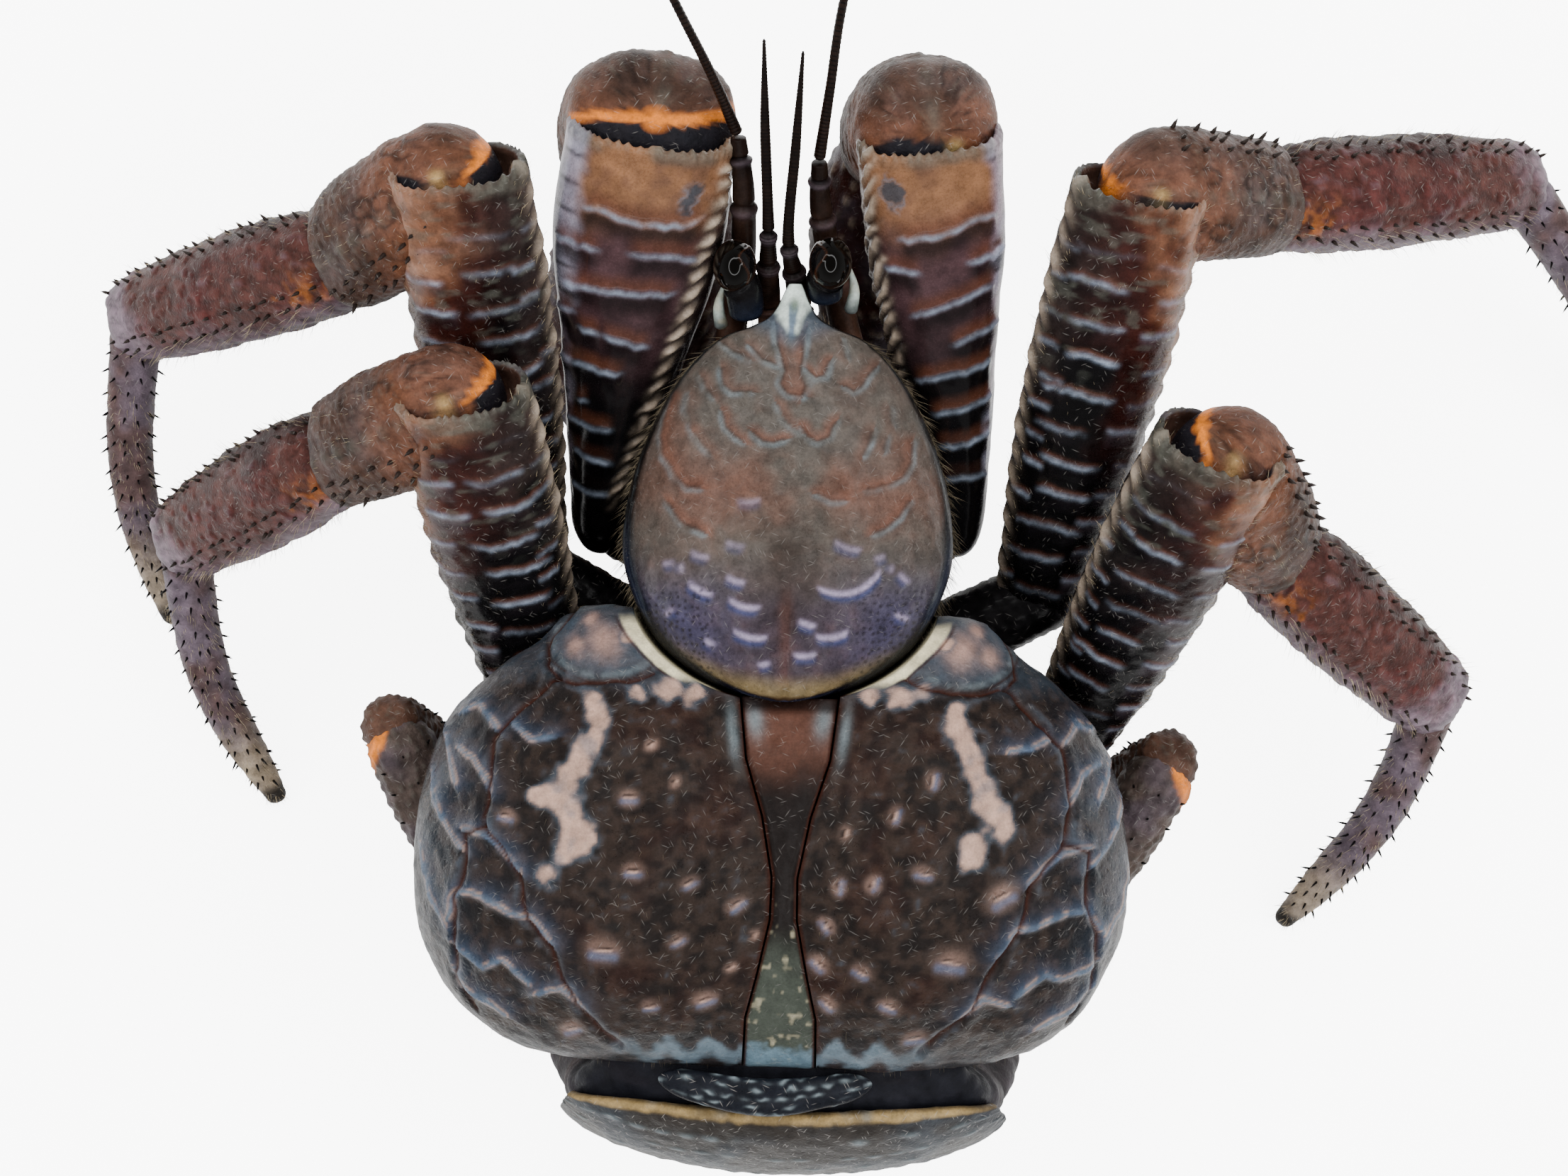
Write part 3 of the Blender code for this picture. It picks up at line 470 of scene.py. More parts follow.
class Skin:
    """Gathers closed surfaces into one mesh, with a colour and a roughness at every point."""

    def __init__(self):
        self.points, self.tints, self.roughs, self.uvs, self.quads, self.triangles = ([] for _ in range(6))
        self.count = 0

    def _keep(self, points, tint, rough, uv, quads, triangles):
        """Keeps one surface, its faces turned so that the volume inside is positive."""
        ends, halves = points[triangles], points[quads]
        volume = 0
        for corners in (ends, halves[:, :3], halves[:, (0, 2, 3)]):
            volume += np.einsum("ij,ij->i", corners[:, 0], np.cross(corners[:, 1], corners[:, 2])).sum()
        if volume < 0:
            quads, triangles = quads[:, ::-1], triangles[:, ::-1]
        self.points.append(points)
        self.tints.append(tint)
        self.roughs.append(rough)
        self.uvs.append(uv)
        self.quads.append(quads + self.count)
        self.triangles.append(triangles + self.count)
        self.count += len(points)

    def add(self, grid, tint, rough=0.4):
        """Adds rings of points, quads between them and a fan over each end."""
        rows, columns, _ = grid.shape

        def capped(values, wide):
            values = np.broadcast_to(values, (rows, columns, wide))
            return np.concatenate([values.reshape(-1, wide), values[:1].mean(axis=1),
                                   values[-1:].mean(axis=1)])

        index = np.arange(rows * columns).reshape(rows, columns)
        after = np.roll(index, -1, axis=1)
        quads = stack(index[:-1], after[:-1], after[1:], index[1:]).reshape(-1, 4)
        start = stack(after[0], index[0], rows * columns)
        finish = stack(index[-1], after[-1], rows * columns + 1)
        u, v = np.meshgrid(np.arange(columns) / columns, np.arange(rows) / rows)
        uv = np.concatenate([stack(u, v).reshape(-1, 2), [[0.5, 0]], [[0.5, 1]]])
        self._keep(capped(grid, 3), capped(tint, 3), capped(np.array(rough)[..., None], 1)[:, 0],
                   uv, quads, np.concatenate([start, finish]))

    def add_spikes(self, roots, ways, tall, wide, tint, rough=0.4, sides=3, bend=(0, 0, 0), blunt=0, uv=0):
        """Adds thin cones, all at once: each has a root, a direction, a height and a width at its root.

        A ring at the root, one half way up and a tip; 'bend' moves the tip, and 'blunt' widens the middle.
        """
        count = len(roots)
        tall = np.broadcast_to(tall, (count,))[:, None, None]
        ways = unit(ways)
        across = unit(np.cross(ways, np.where(np.abs(ways[:, 2:3]) > 0.9, (1, 0, 0), (0, 0, 1))))
        over = np.cross(ways, across)
        turn = 2 * np.pi * np.arange(sides) / sides
        circle = (across[:, None] * np.cos(turn)[:, None] + over[:, None] * np.sin(turn)[:, None]) * wide / 2
        roots, ways, bend = roots[:, None], ways[:, None], np.array(bend, float)
        low = roots + circle - ways * tall * 0.08
        middle = roots + circle * (0.6 + blunt) + (ways * 0.5 + bend * 0.3) * tall
        tip = roots + (ways + bend) * tall
        each = 2 * sides + 1
        points = np.concatenate([low, middle, tip], axis=1).reshape(-1, 3)
        ring = np.arange(sides)
        after = np.roll(ring, -1)
        quads = stack(ring, after, after + sides, ring + sides)
        tips = stack(ring + sides, after + sides, 2 * sides)
        bottom = stack(0, np.arange(2, sides), np.arange(1, sides - 1))
        shift = (np.arange(count) * each)[:, None, None]
        quads = (quads[None] + shift).reshape(-1, 4)
        triangles = (np.concatenate([tips, bottom])[None] + shift).reshape(-1, 3)
        # A cone's points lie on a small circle round its root's place on the map.
        number = np.arange(each) * 2.4
        uv = np.broadcast_to(uv, (count, 2))[:, None] + stack(np.cos(number), np.sin(number)) * 0.0015
        tint = np.repeat(np.broadcast_to(tint, (count, 3)), each, axis=0)
        self._keep(points, tint, np.full(len(points), rough), uv.reshape(-1, 2), quads, triangles)

    def build(self, part, finish, slot):
        """Makes the mesh object, which rides on the crab and, unless it is bristles, stands for a solid."""
        points = np.concatenate(self.points) * MM
        quads, triangles = np.concatenate(self.quads), np.concatenate(self.triangles)
        loops = np.concatenate([quads.reshape(-1), triangles.reshape(-1)])
        totals = np.repeat((4, 3), (len(quads), len(triangles)))
        data = bpy.data.meshes.new("look_" + part)
        data.vertices.add(len(points))
        fill(data.vertices, "co", points)
        data.loops.add(len(loops))
        fill(data.loops, "vertex_index", loops, np.int32)
        data.polygons.add(len(totals))
        fill(data.polygons, "loop_start", np.cumsum(totals) - totals, np.int32)
        fill(data.polygons, "loop_total", totals, np.int32)
        data.update(calc_edges=True)
        tint = np.concatenate([np.concatenate(self.tints), np.ones((len(points), 1))], axis=1)
        fill(data.attributes.new("tint", "FLOAT_COLOR", "POINT").data, "color", tint)
        fill(data.attributes.new("rough", "FLOAT", "POINT").data, "value", np.concatenate(self.roughs))
        nodes = [part]
        if slot == "bristle":
            nodes = []
            fill(data.uv_layers.new(name="OFBake").data, "uv", np.concatenate(self.uvs)[loops])
        data.shade_smooth()
        data.materials.append(finish_of(finish))
        thing = bpy.data.objects.new(data.name, data)
        bpy.context.scene.collection.objects.link(thing)
        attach(thing, "root")
        if nodes:
            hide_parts(*nodes)


def make(part, finish, slot, dress, *inputs, **more):
    """Makes the piece whose surfaces 'dress' adds to a skin, and passes on what it gives back."""
    skin = Skin()
    made = dress(skin, *inputs, **more)
    skin.build(part, finish, slot)
    return made


class Nodes:
    """Adds shader nodes to the tree of a material or the world."""

    def __init__(self, owner):
        owner.use_nodes = True
        self.tree = owner.node_tree

    def set(self, node, **values):
        """Sets a node up: a name with a leading 'in_' is an input, and takes a value or a node's output."""
        for key, value in values.items():
            if not key.startswith("in_"):
                setattr(node, key, value)
                continue
            key = key[3:].replace("_", " ")
            socket = node.inputs[int(key) if key.isdigit() else key]
            if isinstance(value, bpy.types.NodeSocket):
                self.tree.links.new(value, socket)
            else:
                socket.default_value = value

    def add(self, kind, out=0, **values):
        """Adds a node and gives one of its outputs."""
        node = self.tree.nodes.new("ShaderNode" + kind)
        self.set(node, **values)
        return node.outputs[out]

    def noise(self, place, scale, detail, rough):
        return self.add("TexNoise", in_Vector=place, in_Scale=scale, in_Detail=detail, in_Roughness=rough)

    def span(self, value, low, high, start, end):
        """Turns values between 'low' and 'high' into values between 'start' and 'end'."""
        return self.add("MapRange", in_Value=value, in_From_Min=low, in_From_Max=high, in_To_Min=start,
                        in_To_Max=end)

    def calc(self, operation, first, second, **more):
        return self.add("Math", operation=operation, in_0=first, in_1=second, **more)


# For each finish: wave length of its finest relief in millimetres, depth of the pits, mottling, scratches,
# clear coat, the coat's roughness and strength of the relief.
FINISHES = {
    "shield shell": (0.35, 0.5, 0.35, 0.18, 0.35, 0.2, 0.25),
    "gill shell": (0.45, 0.6, 0.22, 0.2, 0.15, 0.2, 0.4),
    "leg shell": (0.4, 0.3, 0.35, 0.25, 0.35, 0.2, 0.25),
    "shin shell": (0.35, 0.5, 0.35, 0.3, 0.1, 0.2, 0.45),
    "claw shell": (0.5, 0, 0.25, 0, 0.5, 0.12, 0.15),
    "bag skin": (0.6, 0, 0.3, 0, 0.05, 0.2, 0.5),
    "back plate shell": (0.4, 0.4, 0.35, 0.45, 0.15, 0.2, 0.4),
    "breast shell": (0.5, 0, 0.35, 0.2, 0.15, 0.2, 0.25),
    "cornea": (2, 0, 0.1, 0, 1, 0.02, 0),
    "stalk shell": (0.3, 0, 0.35, 0, 0.35, 0.2, 0.25),
    "feeler shell": (0.3, 0, 0.35, 0, 0.25, 0.2, 0.25),
    "bristle": (0.35, 0, 0.35, 0, 0, 0.2, 0),
}
# Scale, detail and roughness of the noises that mottle and freckle the shell.
MOTTLE_NOISE = (420, 4, 0.6)
FRECKLE_NOISE = (2600, 2, 0.7)
COAT_SHARE = 0.7
SPECULAR = 0.15
RELIEF_DEPTH = 0.00025
# Turn and stretch of the four sets of scratches; width, length and height of their cells in metres; colour.
SCRATCH_TURNS = ((0.5, 1), (-0.6, 1.2), (1.9, 0.9), (1.2, 1.1))
SCRATCH_CELL = (0.00036, 0.0034, 0.002)
SCRATCH_COLOUR = (0.33, 0.31, 0.29, 1)


def finish_of(name):
    """Finish: the painted colour, mottled and freckled, with grain, pits, pale scratches and a coat."""
    if name in bpy.data.materials:
        return bpy.data.materials[name]
    grain, pits, mottle, scratches, coat, coat_rough, bump = FINISHES[name]
    material = bpy.data.materials.new(name)
    nodes = Nodes(material)
    place = nodes.add("TexCoord", "Object")
    colour = nodes.add("Attribute", "Color", attribute_name="tint")
    rough = nodes.add("Attribute", "Fac", attribute_name="rough")
    freckle = nodes.noise(place, *FRECKLE_NOISE)
    for value, change, share in ((nodes.noise(place, *MOTTLE_NOISE), mottle, 1), (freckle, 0.25, 0.6)):
        colour = nodes.add("Mix", 2, data_type="RGBA", blend_type="MULTIPLY", in_0=share, in_6=colour,
                           in_7=nodes.span(value, 0.3, 0.7, 1 - change, 1 + change))
    for turn, stretch in SCRATCH_TURNS if scratches else ():
        wide, long, high = SCRATCH_CELL
        at = nodes.add("Mapping", vector_type="TEXTURE", in_Vector=place, in_Rotation=(0, 0, turn),
                       in_Scale=(wide * stretch, long * stretch, high))
        cell = nodes.add("TexVoronoi", in_Vector=at, in_Scale=1, in_Randomness=1)
        chance = nodes.add("SeparateColor", in_0=cell.node.outputs["Color"])
        share = nodes.calc("MULTIPLY", nodes.span(cell, 0.2, 0.08, 0, scratches),
                          nodes.calc("GREATER_THAN", chance, 0.6))
        colour = nodes.add("Mix", 2, data_type="RGBA", in_0=share, in_6=colour, in_7=SCRATCH_COLOUR)
    rough = nodes.calc("ADD", rough, nodes.span(freckle, 0.3, 0.7, -0.08, 0.12), use_clamp=True)
    height = nodes.noise(place, 1000 / grain, 3, 0.6)
    if pits:
        cell = nodes.add("TexVoronoi", in_Vector=place, in_Scale=1000 / (grain * 2.5))
        height = nodes.calc("ADD", height, nodes.span(cell, 0.1, 0.35, -pits, 0))
    dent = nodes.add("Bump", in_Strength=bump, in_Distance=RELIEF_DEPTH, in_Height=height)
    nodes.set(nodes.tree.nodes["Principled BSDF"], in_Base_Color=colour, in_Roughness=rough, in_Normal=dent,
              in_Coat_Weight=coat * COAT_SHARE, in_Coat_Roughness=coat_rough, in_Specular_IOR_Level=SPECULAR)
    return material


# ---- markings

# Scallops of the shield: a line with its inner, rusty side on the left, then the strengths of edge and rust;
# the edge's strength also weights a thin painted shadow just inside the pale edge.
SCALLOPS = (
    (((-6.1, 67.8), (-4.7, 66.1), (-2.5, 65.4)), 0.9, 0.4),
    (((-10, 68.3), (-8.6, 66.9), (-6.4, 66)), 0.8, 0.3),
    (((-10.2, 64.5), (-9.8, 62.4), (-8.4, 61.4), (-5.9, 61.3)), 0.9, 0.6),
    (((-12.9, 63.3), (-12.2, 61.6), (-11.3, 60.7)), 0.7, 0.5),
    (((-14.5, 60.4), (-14.9, 58.4), (-14.2, 56)), 0.5, 0.3),
    (((-9.8, 58.4), (-9.2, 56.4), (-7.9, 55), (-6.7, 54.3)), 0.9, 0.9),
    (((-5.1, 55.4), (-4, 54.4), (-2.5, 54.2), (-1.2, 54.7)), 0.9, 1),
    (((-2.2, 59.5), (-1.3, 57.7), (-0.2, 56.5), (1.2, 55.9)), 0.6, 0.7),
    (((1.5, 56.3), (2.2, 55.1), (3.7, 54.7), (5.4, 55.3), (6.3, 57.3)), 0.9, 1),
    (((2, 64.7), (3.2, 63.3), (4.4, 63.8), (5.2, 66)), 0.9, 0.9),
    (((7.4, 62.5), (8.6, 61.9), (10, 63.1), (11.4, 65.5)), 0.9, 0.6),
    (((7.6, 67), (6.9, 68.9)), 0.7, 0.2),
    (((-13.6, 55), (-12.5, 53.5), (-11.5, 52.6)), 0.6, 0.5),
    (((10.3, 53.1), (10.9, 54.6), (11.4, 56.3)), 0.8, 0.5),
    (((13.1, 53.9), (13.5, 55.4)), 0.6, 0.2),
    (((14.4, 57.5), (13.9, 59.5)), 0.5, 0.3),
    (((-2.5, 71.1), (-2.3, 68), (-1.3, 64.6), (-1.9, 62.6), (-0.8, 61.2), (1.4, 60.9)), 0.9, 0.7),
    (((1.4, 60.9), (2, 62.4), (1.3, 64.3), (1.6, 66.4), (1.8, 70.5)), 0.9, 0.7),
    (
        (
            (-16.9, 60.5), (-18.1, 57.5), (-18.4, 55), (-18, 52.6), (-17, 50.9), (-15.7, 48.8), (-14.3, 47.7),
            (-12.6, 47.7),
        ),
        0.75,
        1,
    ),
    (((11.2, 48.3), (13.9, 48.8), (15.9, 50.2), (17.2, 52.3), (17.4, 55)), 0.8, 0.8),
    (((-17.3, 45.5), (-16.3, 44.1), (-14.5, 42.5), (-11.9, 41.3)), 1, 1),
    (((4, 47), (5.8, 46.3), (7.6, 46.5)), 0.7, 0.8),
    (((12.1, 42), (14.1, 43), (15.7, 44.4), (16.9, 46.5)), 0.9, 0.9),
)
# Dashes of the shield: middle, length, turn in degrees and strength.
SHIELD_DASHES = (
    (-5.6, 45.8, 4.2, 4, 0.6), (-12.3, 38.1, 3.6, -17, 0.7), (-7.4, 39.7, 3.6, -13, 0.6),
    (-16.6, 37, 2.6, 7, 0.7), (-7.2, 34.7, 3.6, -18, 0.8), (-12.1, 33.2, 4.8, -27, 1),
    (-6, 31.2, 5.4, -15, 1), (-16.4, 30.1, 2.6, 38, 0.9), (-5, 26.9, 5.6, -11, 1), (-10.6, 26, 2.6, -32, 0.7),
    (-2.8, 23.2, 2.6, 12, 0.8), (3, 28.9, 3.3, -15, 0.9), (6.6, 27.2, 5.4, 9, 1), (2.8, 24.5, 4, 3, 0.9),
    (9.3, 33.6, 9.9, 18, 1), (8.3, 39.8, 4.8, -16, 0.9), (13, 38.6, 2.6, 19, 0.7), (16.4, 30.3, 3, -21, 0.9),
    (16.4, 35.8, 3, -40, 0.8), (-14.8, 36.4, 2.4, -86, 0.5), (14.6, 37.1, 2.2, -94, 0.5),
)
SHIELD_REAR = (
    (-22, 31), (-18.6, 25.5), (-13.6, 21.5), (-8, 19), (0, 18), (8, 19), (13.6, 21.5), (18.6, 25.5), (22, 31),
)
RUST_PATCHES = (
    (-12, 46.6, 4.4), (13.4, 46, 3.8), (-4.6, 48.4, 3.4), (6.6, 48.4, 3.2), (0.2, 67, 1.3), (0.2, 62.6, 1.6),
    (-16, 56, 2.2), (-16.4, 52, 2.2), (15.6, 54, 2), (-1, 44.5, 2.6),
)

# Lines between the plates of a gill cover, for the left cover; the right cover's are their mirror.
COVER_SUTURES = (
    ((-32.4, 20.2), (-29.1, 19.7), (-21.5, 20.3), (-18, 21.6)),
    ((-32.4, 20.2), (-33.8, 22.1), (-33.4, 25.4), (-31, 29)),
    (
        (-32.4, 20.2), (-36.5, 16.5), (-40.3, 12), (-41.2, 5.5), (-40.9, -0.9), (-36.1, -6.9), (-34.4, -13.3),
        (-31.6, -17), (-28, -25), (-21.5, -31.8),
    ),
    ((-40.9, -0.9), (-44.2, -2), (-44.5, -9.5), (-46, -14), (-45.7, -22.8), (-42.9, -27.7)),
)
# Raised edges of the scales on the flank: the pale side lies to the left, going along the line.
COVER_EDGES = (
    ((-36.1, -6.6), (-40.5, -2.4), (-43.8, -1.6)),
    ((-31.8, -16.4), (-34.2, -13.2), (-37.1, -12.6), (-41.4, -10.9), (-44.4, -10.6), (-46.4, -13.9)),
    ((-35, -22.5), (-38.9, -19.8), (-41.1, -20.8), (-45.9, -18.1)),
    ((-27.5, -25.6), (-29.8, -23.2), (-33.1, -24.1)), ((-38.5, -27.8), (-44.7, -24.7), (-46.2, -22)),
    ((-45.2, -3.9), (-48.6, 0.4), (-50.2, 5.2)), ((-47.5, -15), (-50.4, -10.6), (-52, -4.4)),
    ((-41.3, 4.6), (-43.4, 8.2), (-45.6, 9.4)), ((-46.4, 5.3), (-48.6, 10.8)),
    ((-32.6, 11.7), (-35.3, 11.7), (-37.7, 13.2)), ((-40.6, 13.2), (-43.2, 15.4), (-45.4, 14.6)),
)
BLOTCHES = {
    "left": (
        (-26.6, 17.4, 1.4), (-25.6, 14.8, 1.7), (-26.4, 12, 1.7), (-27.8, 9.6, 1.8), (-29.4, 7, 2),
        (-32.4, 4.6, 1.7), (-34.2, 4, 1.2), (-29.6, 3.2, 2.1), (-28.4, 0.2, 2.1), (-27.2, -2, 2),
        (-30, -3.6, 1.6), (-32.2, -6.8, 1.6), (-20.6, 18.6, 1.4), (-16, 19, 1.9), (-12.4, 18.8, 1.5),
        (-22.4, 25.6, 1.2),
    ),
    "right": (
        (24.2, 17.4, 1.4), (24.4, 14.8, 1.7), (25.8, 12.4, 1.6), (27, 10, 1.7), (28, 7.6, 1.7), (28, 5, 1.6),
        (30.6, 4, 1.8), (31.2, 1.2, 1.6), (27.2, -0.4, 1.7), (26.8, -3, 1.8), (12, 19, 1.5),
        (16.2, 19.2, 1.8), (19.6, 19.8, 1.2), (23, 26, 1.2),
    ),
}
# Painted highlights on the bulge at a cover's front corner, as soft pale patches: middle and radius.
EPAULETTE_HIGHLIGHTS = ((-25.4, 25, 2.2), (-29.6, 24.2, 1.3), (-21.6, 26.4, 1.1), (-27.8, 28, 1))
# Slit spots: middle, radius and turn of the slit in degrees.
SPOTS = {
    "left": (
        (-18.2, 11.9, 1, 40), (-20.9, 4.7, 1.5, 0), (-14.8, 6.8, 1, 60), (-38.1, 1.2, 1.3, -10),
        (-20, -5.4, 1.5, 0), (-12.4, -7.1, 1.3, 30), (-5.8, -10.2, 1.5, 40), (-13.8, -15.3, 1.3, 30),
        (-23.9, -16.6, 2.4, -4), (-9.9, -24, 1.7, 20), (-17.4, -24.9, 1.3, 10), (-28.7, -29.1, 1.6, 20),
        (-3.4, -14.6, 0.9, 60), (-6.4, -19.2, 0.9, 40),
    ),
    "right": (
        (20.8, 7.9, 1.4, 80), (15.7, 3.1, 1.3, 70), (8.9, 0.3, 1.1, 80), (20.1, -4.6, 1.5, -10),
        (13, -6.4, 1.3, 70), (8.2, -7.2, 1.3, 80), (31, -7.8, 2.2, 30), (7, -12.8, 1.3, -50),
        (6.2, -18.3, 1.5, -40), (12.1, -19.1, 1.5, -30), (24.4, -17.1, 2.5, -8), (16.1, -23.9, 1.5, -20),
        (7.7, -24.2, 1.5, -40), (19.9, -29, 1.7, 10),
    ),
}


def dash_fields(x, y, dashes):
    """Height, pale weight and blue weight of short ridges, each steep in front and gentle behind; the blue
    below each crest is partly the shell's colour and partly painted shadow.
    """
    height, pale, blue = np.zeros(x.shape), np.zeros(x.shape), np.zeros(x.shape)
    for middle_x, middle_y, long, turn, strength in dashes:
        v, u = turned(x, y, middle_x, middle_y, turn)
        u = u - 0.09 * v * v
        window = ramp(np.abs(v), long / 2, long / 2 - 1.1) * strength
        height += window * cliff(u, 1.5, 0.3)
        pale = np.maximum(pale, window * bell(u, 0.05, 0.42))
        blue = np.maximum(blue, window * bell(u, -0.7, 0.5))
    return height, pale, blue


def edge_fields(x, y, lines):
    """Height and pale weight of raised edges: pale to the left of each line and steep to its right."""
    height, pale = np.zeros(x.shape), np.zeros(x.shape)
    for line in lines:
        away, side = from_line(x, y, line)
        height = np.maximum(height, cliff(away * side, 0.3, 2.2))
        pale = np.maximum(pale, bell(away * side, 0.35, 0.4))
    return height, pale


# ---- shield and gill covers


def station_rows(stations, rows):
    """The stations' smooth curve read at rows spaced evenly by distance forward and half width."""
    steps = np.linspace(0, 1, 2000)
    fine = smooth(stations, steps)
    walked = np.concatenate([[0], np.cumsum(np.linalg.norm(np.diff(fine[:, :2], axis=0), axis=1))])
    t = np.interp(np.linspace(0, walked[-1], rows), walked, steps)
    return smooth(stations, t)


def ring_angles(columns, crowd=0.5):
    """Angles round a section from 0 to a full turn, packed closer at the top."""
    turn = 2 * np.pi * (np.arange(columns) + 0.5) / columns
    return turn + crowd * np.cos(turn)


def superellipse(angle, square):
    """Across and up of a superellipse of half sizes 1; 'square' 2 is a circle, and more is boxier."""
    c, s = np.cos(angle), np.sin(angle)
    return np.sign(c) * np.abs(c) ** (2 / square), np.sign(s) * np.abs(s) ** (2 / square)


def dress_shield(skin):
    """Shield: sections across the body, boxy at the sides, with scallops in front and dashes behind; its
    steep sides are painted near black as shade.
    """
    rows = station_rows(SHIELD_STATIONS, 290)
    forward, half, widest, top, bottom = (rows[:, index : index + 1] for index in range(5))
    rounding = 0.93 + 0.07 * dome((forward - SHIELD_BACK) / 1.5)
    across, up = superellipse(ring_angles(300), 2.6)
    x = half * across
    z = widest + np.where(up > 0, (top - widest) * rounding * up, (widest - bottom) * up)
    grid = stack(x, forward, z)
    x, y = grid[..., 0], grid[..., 1]
    normal = normals_of(grid)
    upper = ramp(normal[..., 2], 0.15, 0.6)
    soft = cloud(grid, 9, seed=1)
    fine = cloud(grid, 1.6, seed=2, layers=2)

    rear = ramp(y + 2 * soft, 42, 28)
    belt = bell(y + 1.5 * soft, 47.5, 5) * ramp(np.abs(x + 1.5 * soft), 2, 8)
    warm = sum(bell(np.hypot(x - px, y - py), 0, radius) for px, py, radius in RUST_PATCHES)
    violet = ramp(np.abs(x) + 2 * soft, 5, 15) * ramp(y, 39, 29)
    tint = coats(
        hue("shield_grey"),
        ("shield_violet", rear),
        ("shield_rust", 0.4 * belt + 0.15 * ramp(soft, 0, 0.9) * (1 - rear)),
        ("shield_rust", 0.42 * np.clip(warm + 0.3 * fine, 0, 1)),
        ("dash_blue", 0.29 * violet, 1.2),
        ("gill_dark", 0.5 * bell(x - 0.3, 0, 3.6) * ramp(y, 48, 38) * ramp(y, 23, 29)),
    )
    height = 0.1 * fine + 0.2 * soft

    wavy_x = x + 0.25 * cloud(grid, 3, seed=5, layers=2)
    wavy_y = y + 0.25 * cloud(grid, 3, seed=7, layers=2)
    for line, pale, rust in SCALLOPS:
        away, side = from_line(wavy_x, wavy_y, line)
        signed = away * side
        height += size("scallop") * pale * cliff(signed, 1.3, 0.35)
        tint = coats(
            tint,
            ("shield_rust", 0.65 * rust * ramp(signed, 0, 0.25) * ramp(signed, 2.1, 0.5)),
            # Painted shadow: a thin dark line just inside each pale edge, where the crest drops into the
            # scallop.
            ("gill_dark", 0.5 * pale * bell(signed, 0.22, 0.22), 0.6),
            ("scallop_line", 0.75 * pale * bell(signed, -0.35, 0.4) * (0.6 + 0.6 * fine), 0.8),
        )

    rise, pale, blue = dash_fields(x, y, SHIELD_DASHES)
    height += 0.45 * rise
    bright = 0.55 + 0.45 * ramp(y, 42, 33)
    groove = bell(x - 0.2, 0, 0.5) * ramp(y, 42, 34)
    height -= 0.25 * groove
    away, _ = from_line(x, y, SHIELD_REAR)
    front = ramp(y - 0.5 * np.abs(x), 66.5, 70)
    beak = ramp(y - 1.9 * np.abs(x + 0.3) + 0.8 * fine, 67.6, 70.2)
    streaks = lay(hue("gill_blue") * 1.5, "beak", ramp(np.abs(x + 0.3) + 0.3 * fine, 0.25, 0.9))
    green = bell(x, 0, 0.7) * bell(y, 74.3, 1.2)
    rim = ramp(np.abs(x) - half * 0.93, 0, 0.8) * ramp(y, 60, 66)
    dots, _ = studs(x, y, 1.05, seed=4)
    dark = ramp(dots, 0.34, 0.14) * ramp(np.abs(x), 7, 12) * ramp(y, 38, 31)
    height -= 0.08 * dark
    streak = cloud(stack(z * 2.2, y * 0.12, x * 0), 1, seed=8, layers=2)
    # The steep and downward-facing sides, found from the surface's slope.
    wall = 1 - upper
    tint = coats(
        tint,
        # Blue under each dash: partly the shell's own colour, partly painted shadow below the crest.
        ("dash_blue", 0.75 * blue * bright),
        ("dash", 0.9 * pale * bright),
        ("shield_rust", 0.5 * bell(x, 0, 1) * ramp(y, 36, 30), 0.6),
        ("cream", 0.75 * ramp(away, 4.2, 1) * ramp(y, 27, 22), (0.26, 0.21, 0.13)),
        ("suture", 0.8 * ramp(away, 0.7, 0.2) * ramp(y, 30, 24), 0.5),
        ("gill_blue", 0.75 * front, 0.8),
        (lay(streaks, "beak", ramp(y, 73.8, 75.2), 1.3), 0.95 * beak),
        ("beak", 0.8 * green, (0.30, 0.34, 0.26)),
        ("scallop_line", 0.75 * rim, 1.3),
        ("shield_violet", 0.75 * dark, 0.25),
        # Painted shade: near black over the steep sides, which face away from the light above.
        ("leg_black", 0.95 * ramp(wall, 0, 0.6)),
        ("scallop_line", 0.3 * wall * ramp(streak, 0.2, 0.8)),
        ("dash_blue", 0.35 * bell(normal[..., 2], 0.25, 0.12) * ramp(y, 46, 36), 0.7),
    )
    grid = grid + normal * (height * upper)[..., None]
    rough = 0.32 + 0.1 * soft * upper
    skin.add(grid, tint, rough)
    return grid, normal


def hourglass_x(forward, sign):
    """Where the line between the heart plate and a gill cover runs, at each distance forward."""
    y, half = np.array(HEART_PLATE).T
    return HEART_MIDDLE + sign * np.interp(forward, y[::-1], half[::-1])


def shield_half(forward):
    """Half width of the shield's notch at each distance forward, nothing behind the shield."""
    rows = station_rows(SHIELD_STATIONS[:8], 200)
    half = np.interp(forward, rows[:, 0], rows[:, 1] + SHIELD_GAP)
    return np.where(forward < SHIELD_BACK, 0, half)


def as_left(x, side):
    """Distances across a gill cover, mirrored where it is the right one."""
    return x if side == "left" else 2 * (GILL_MIDDLE + HEART_MIDDLE) - x


def valley(x, top):
    """Depth of the valley along the middle of the hind dome, less where the dome is low."""
    return (top - GILL_EQUATOR) / DOME_RISE * VALLEY_DEPTH * bell(x, GILL_MIDDLE, VALLEY_WIDTH)


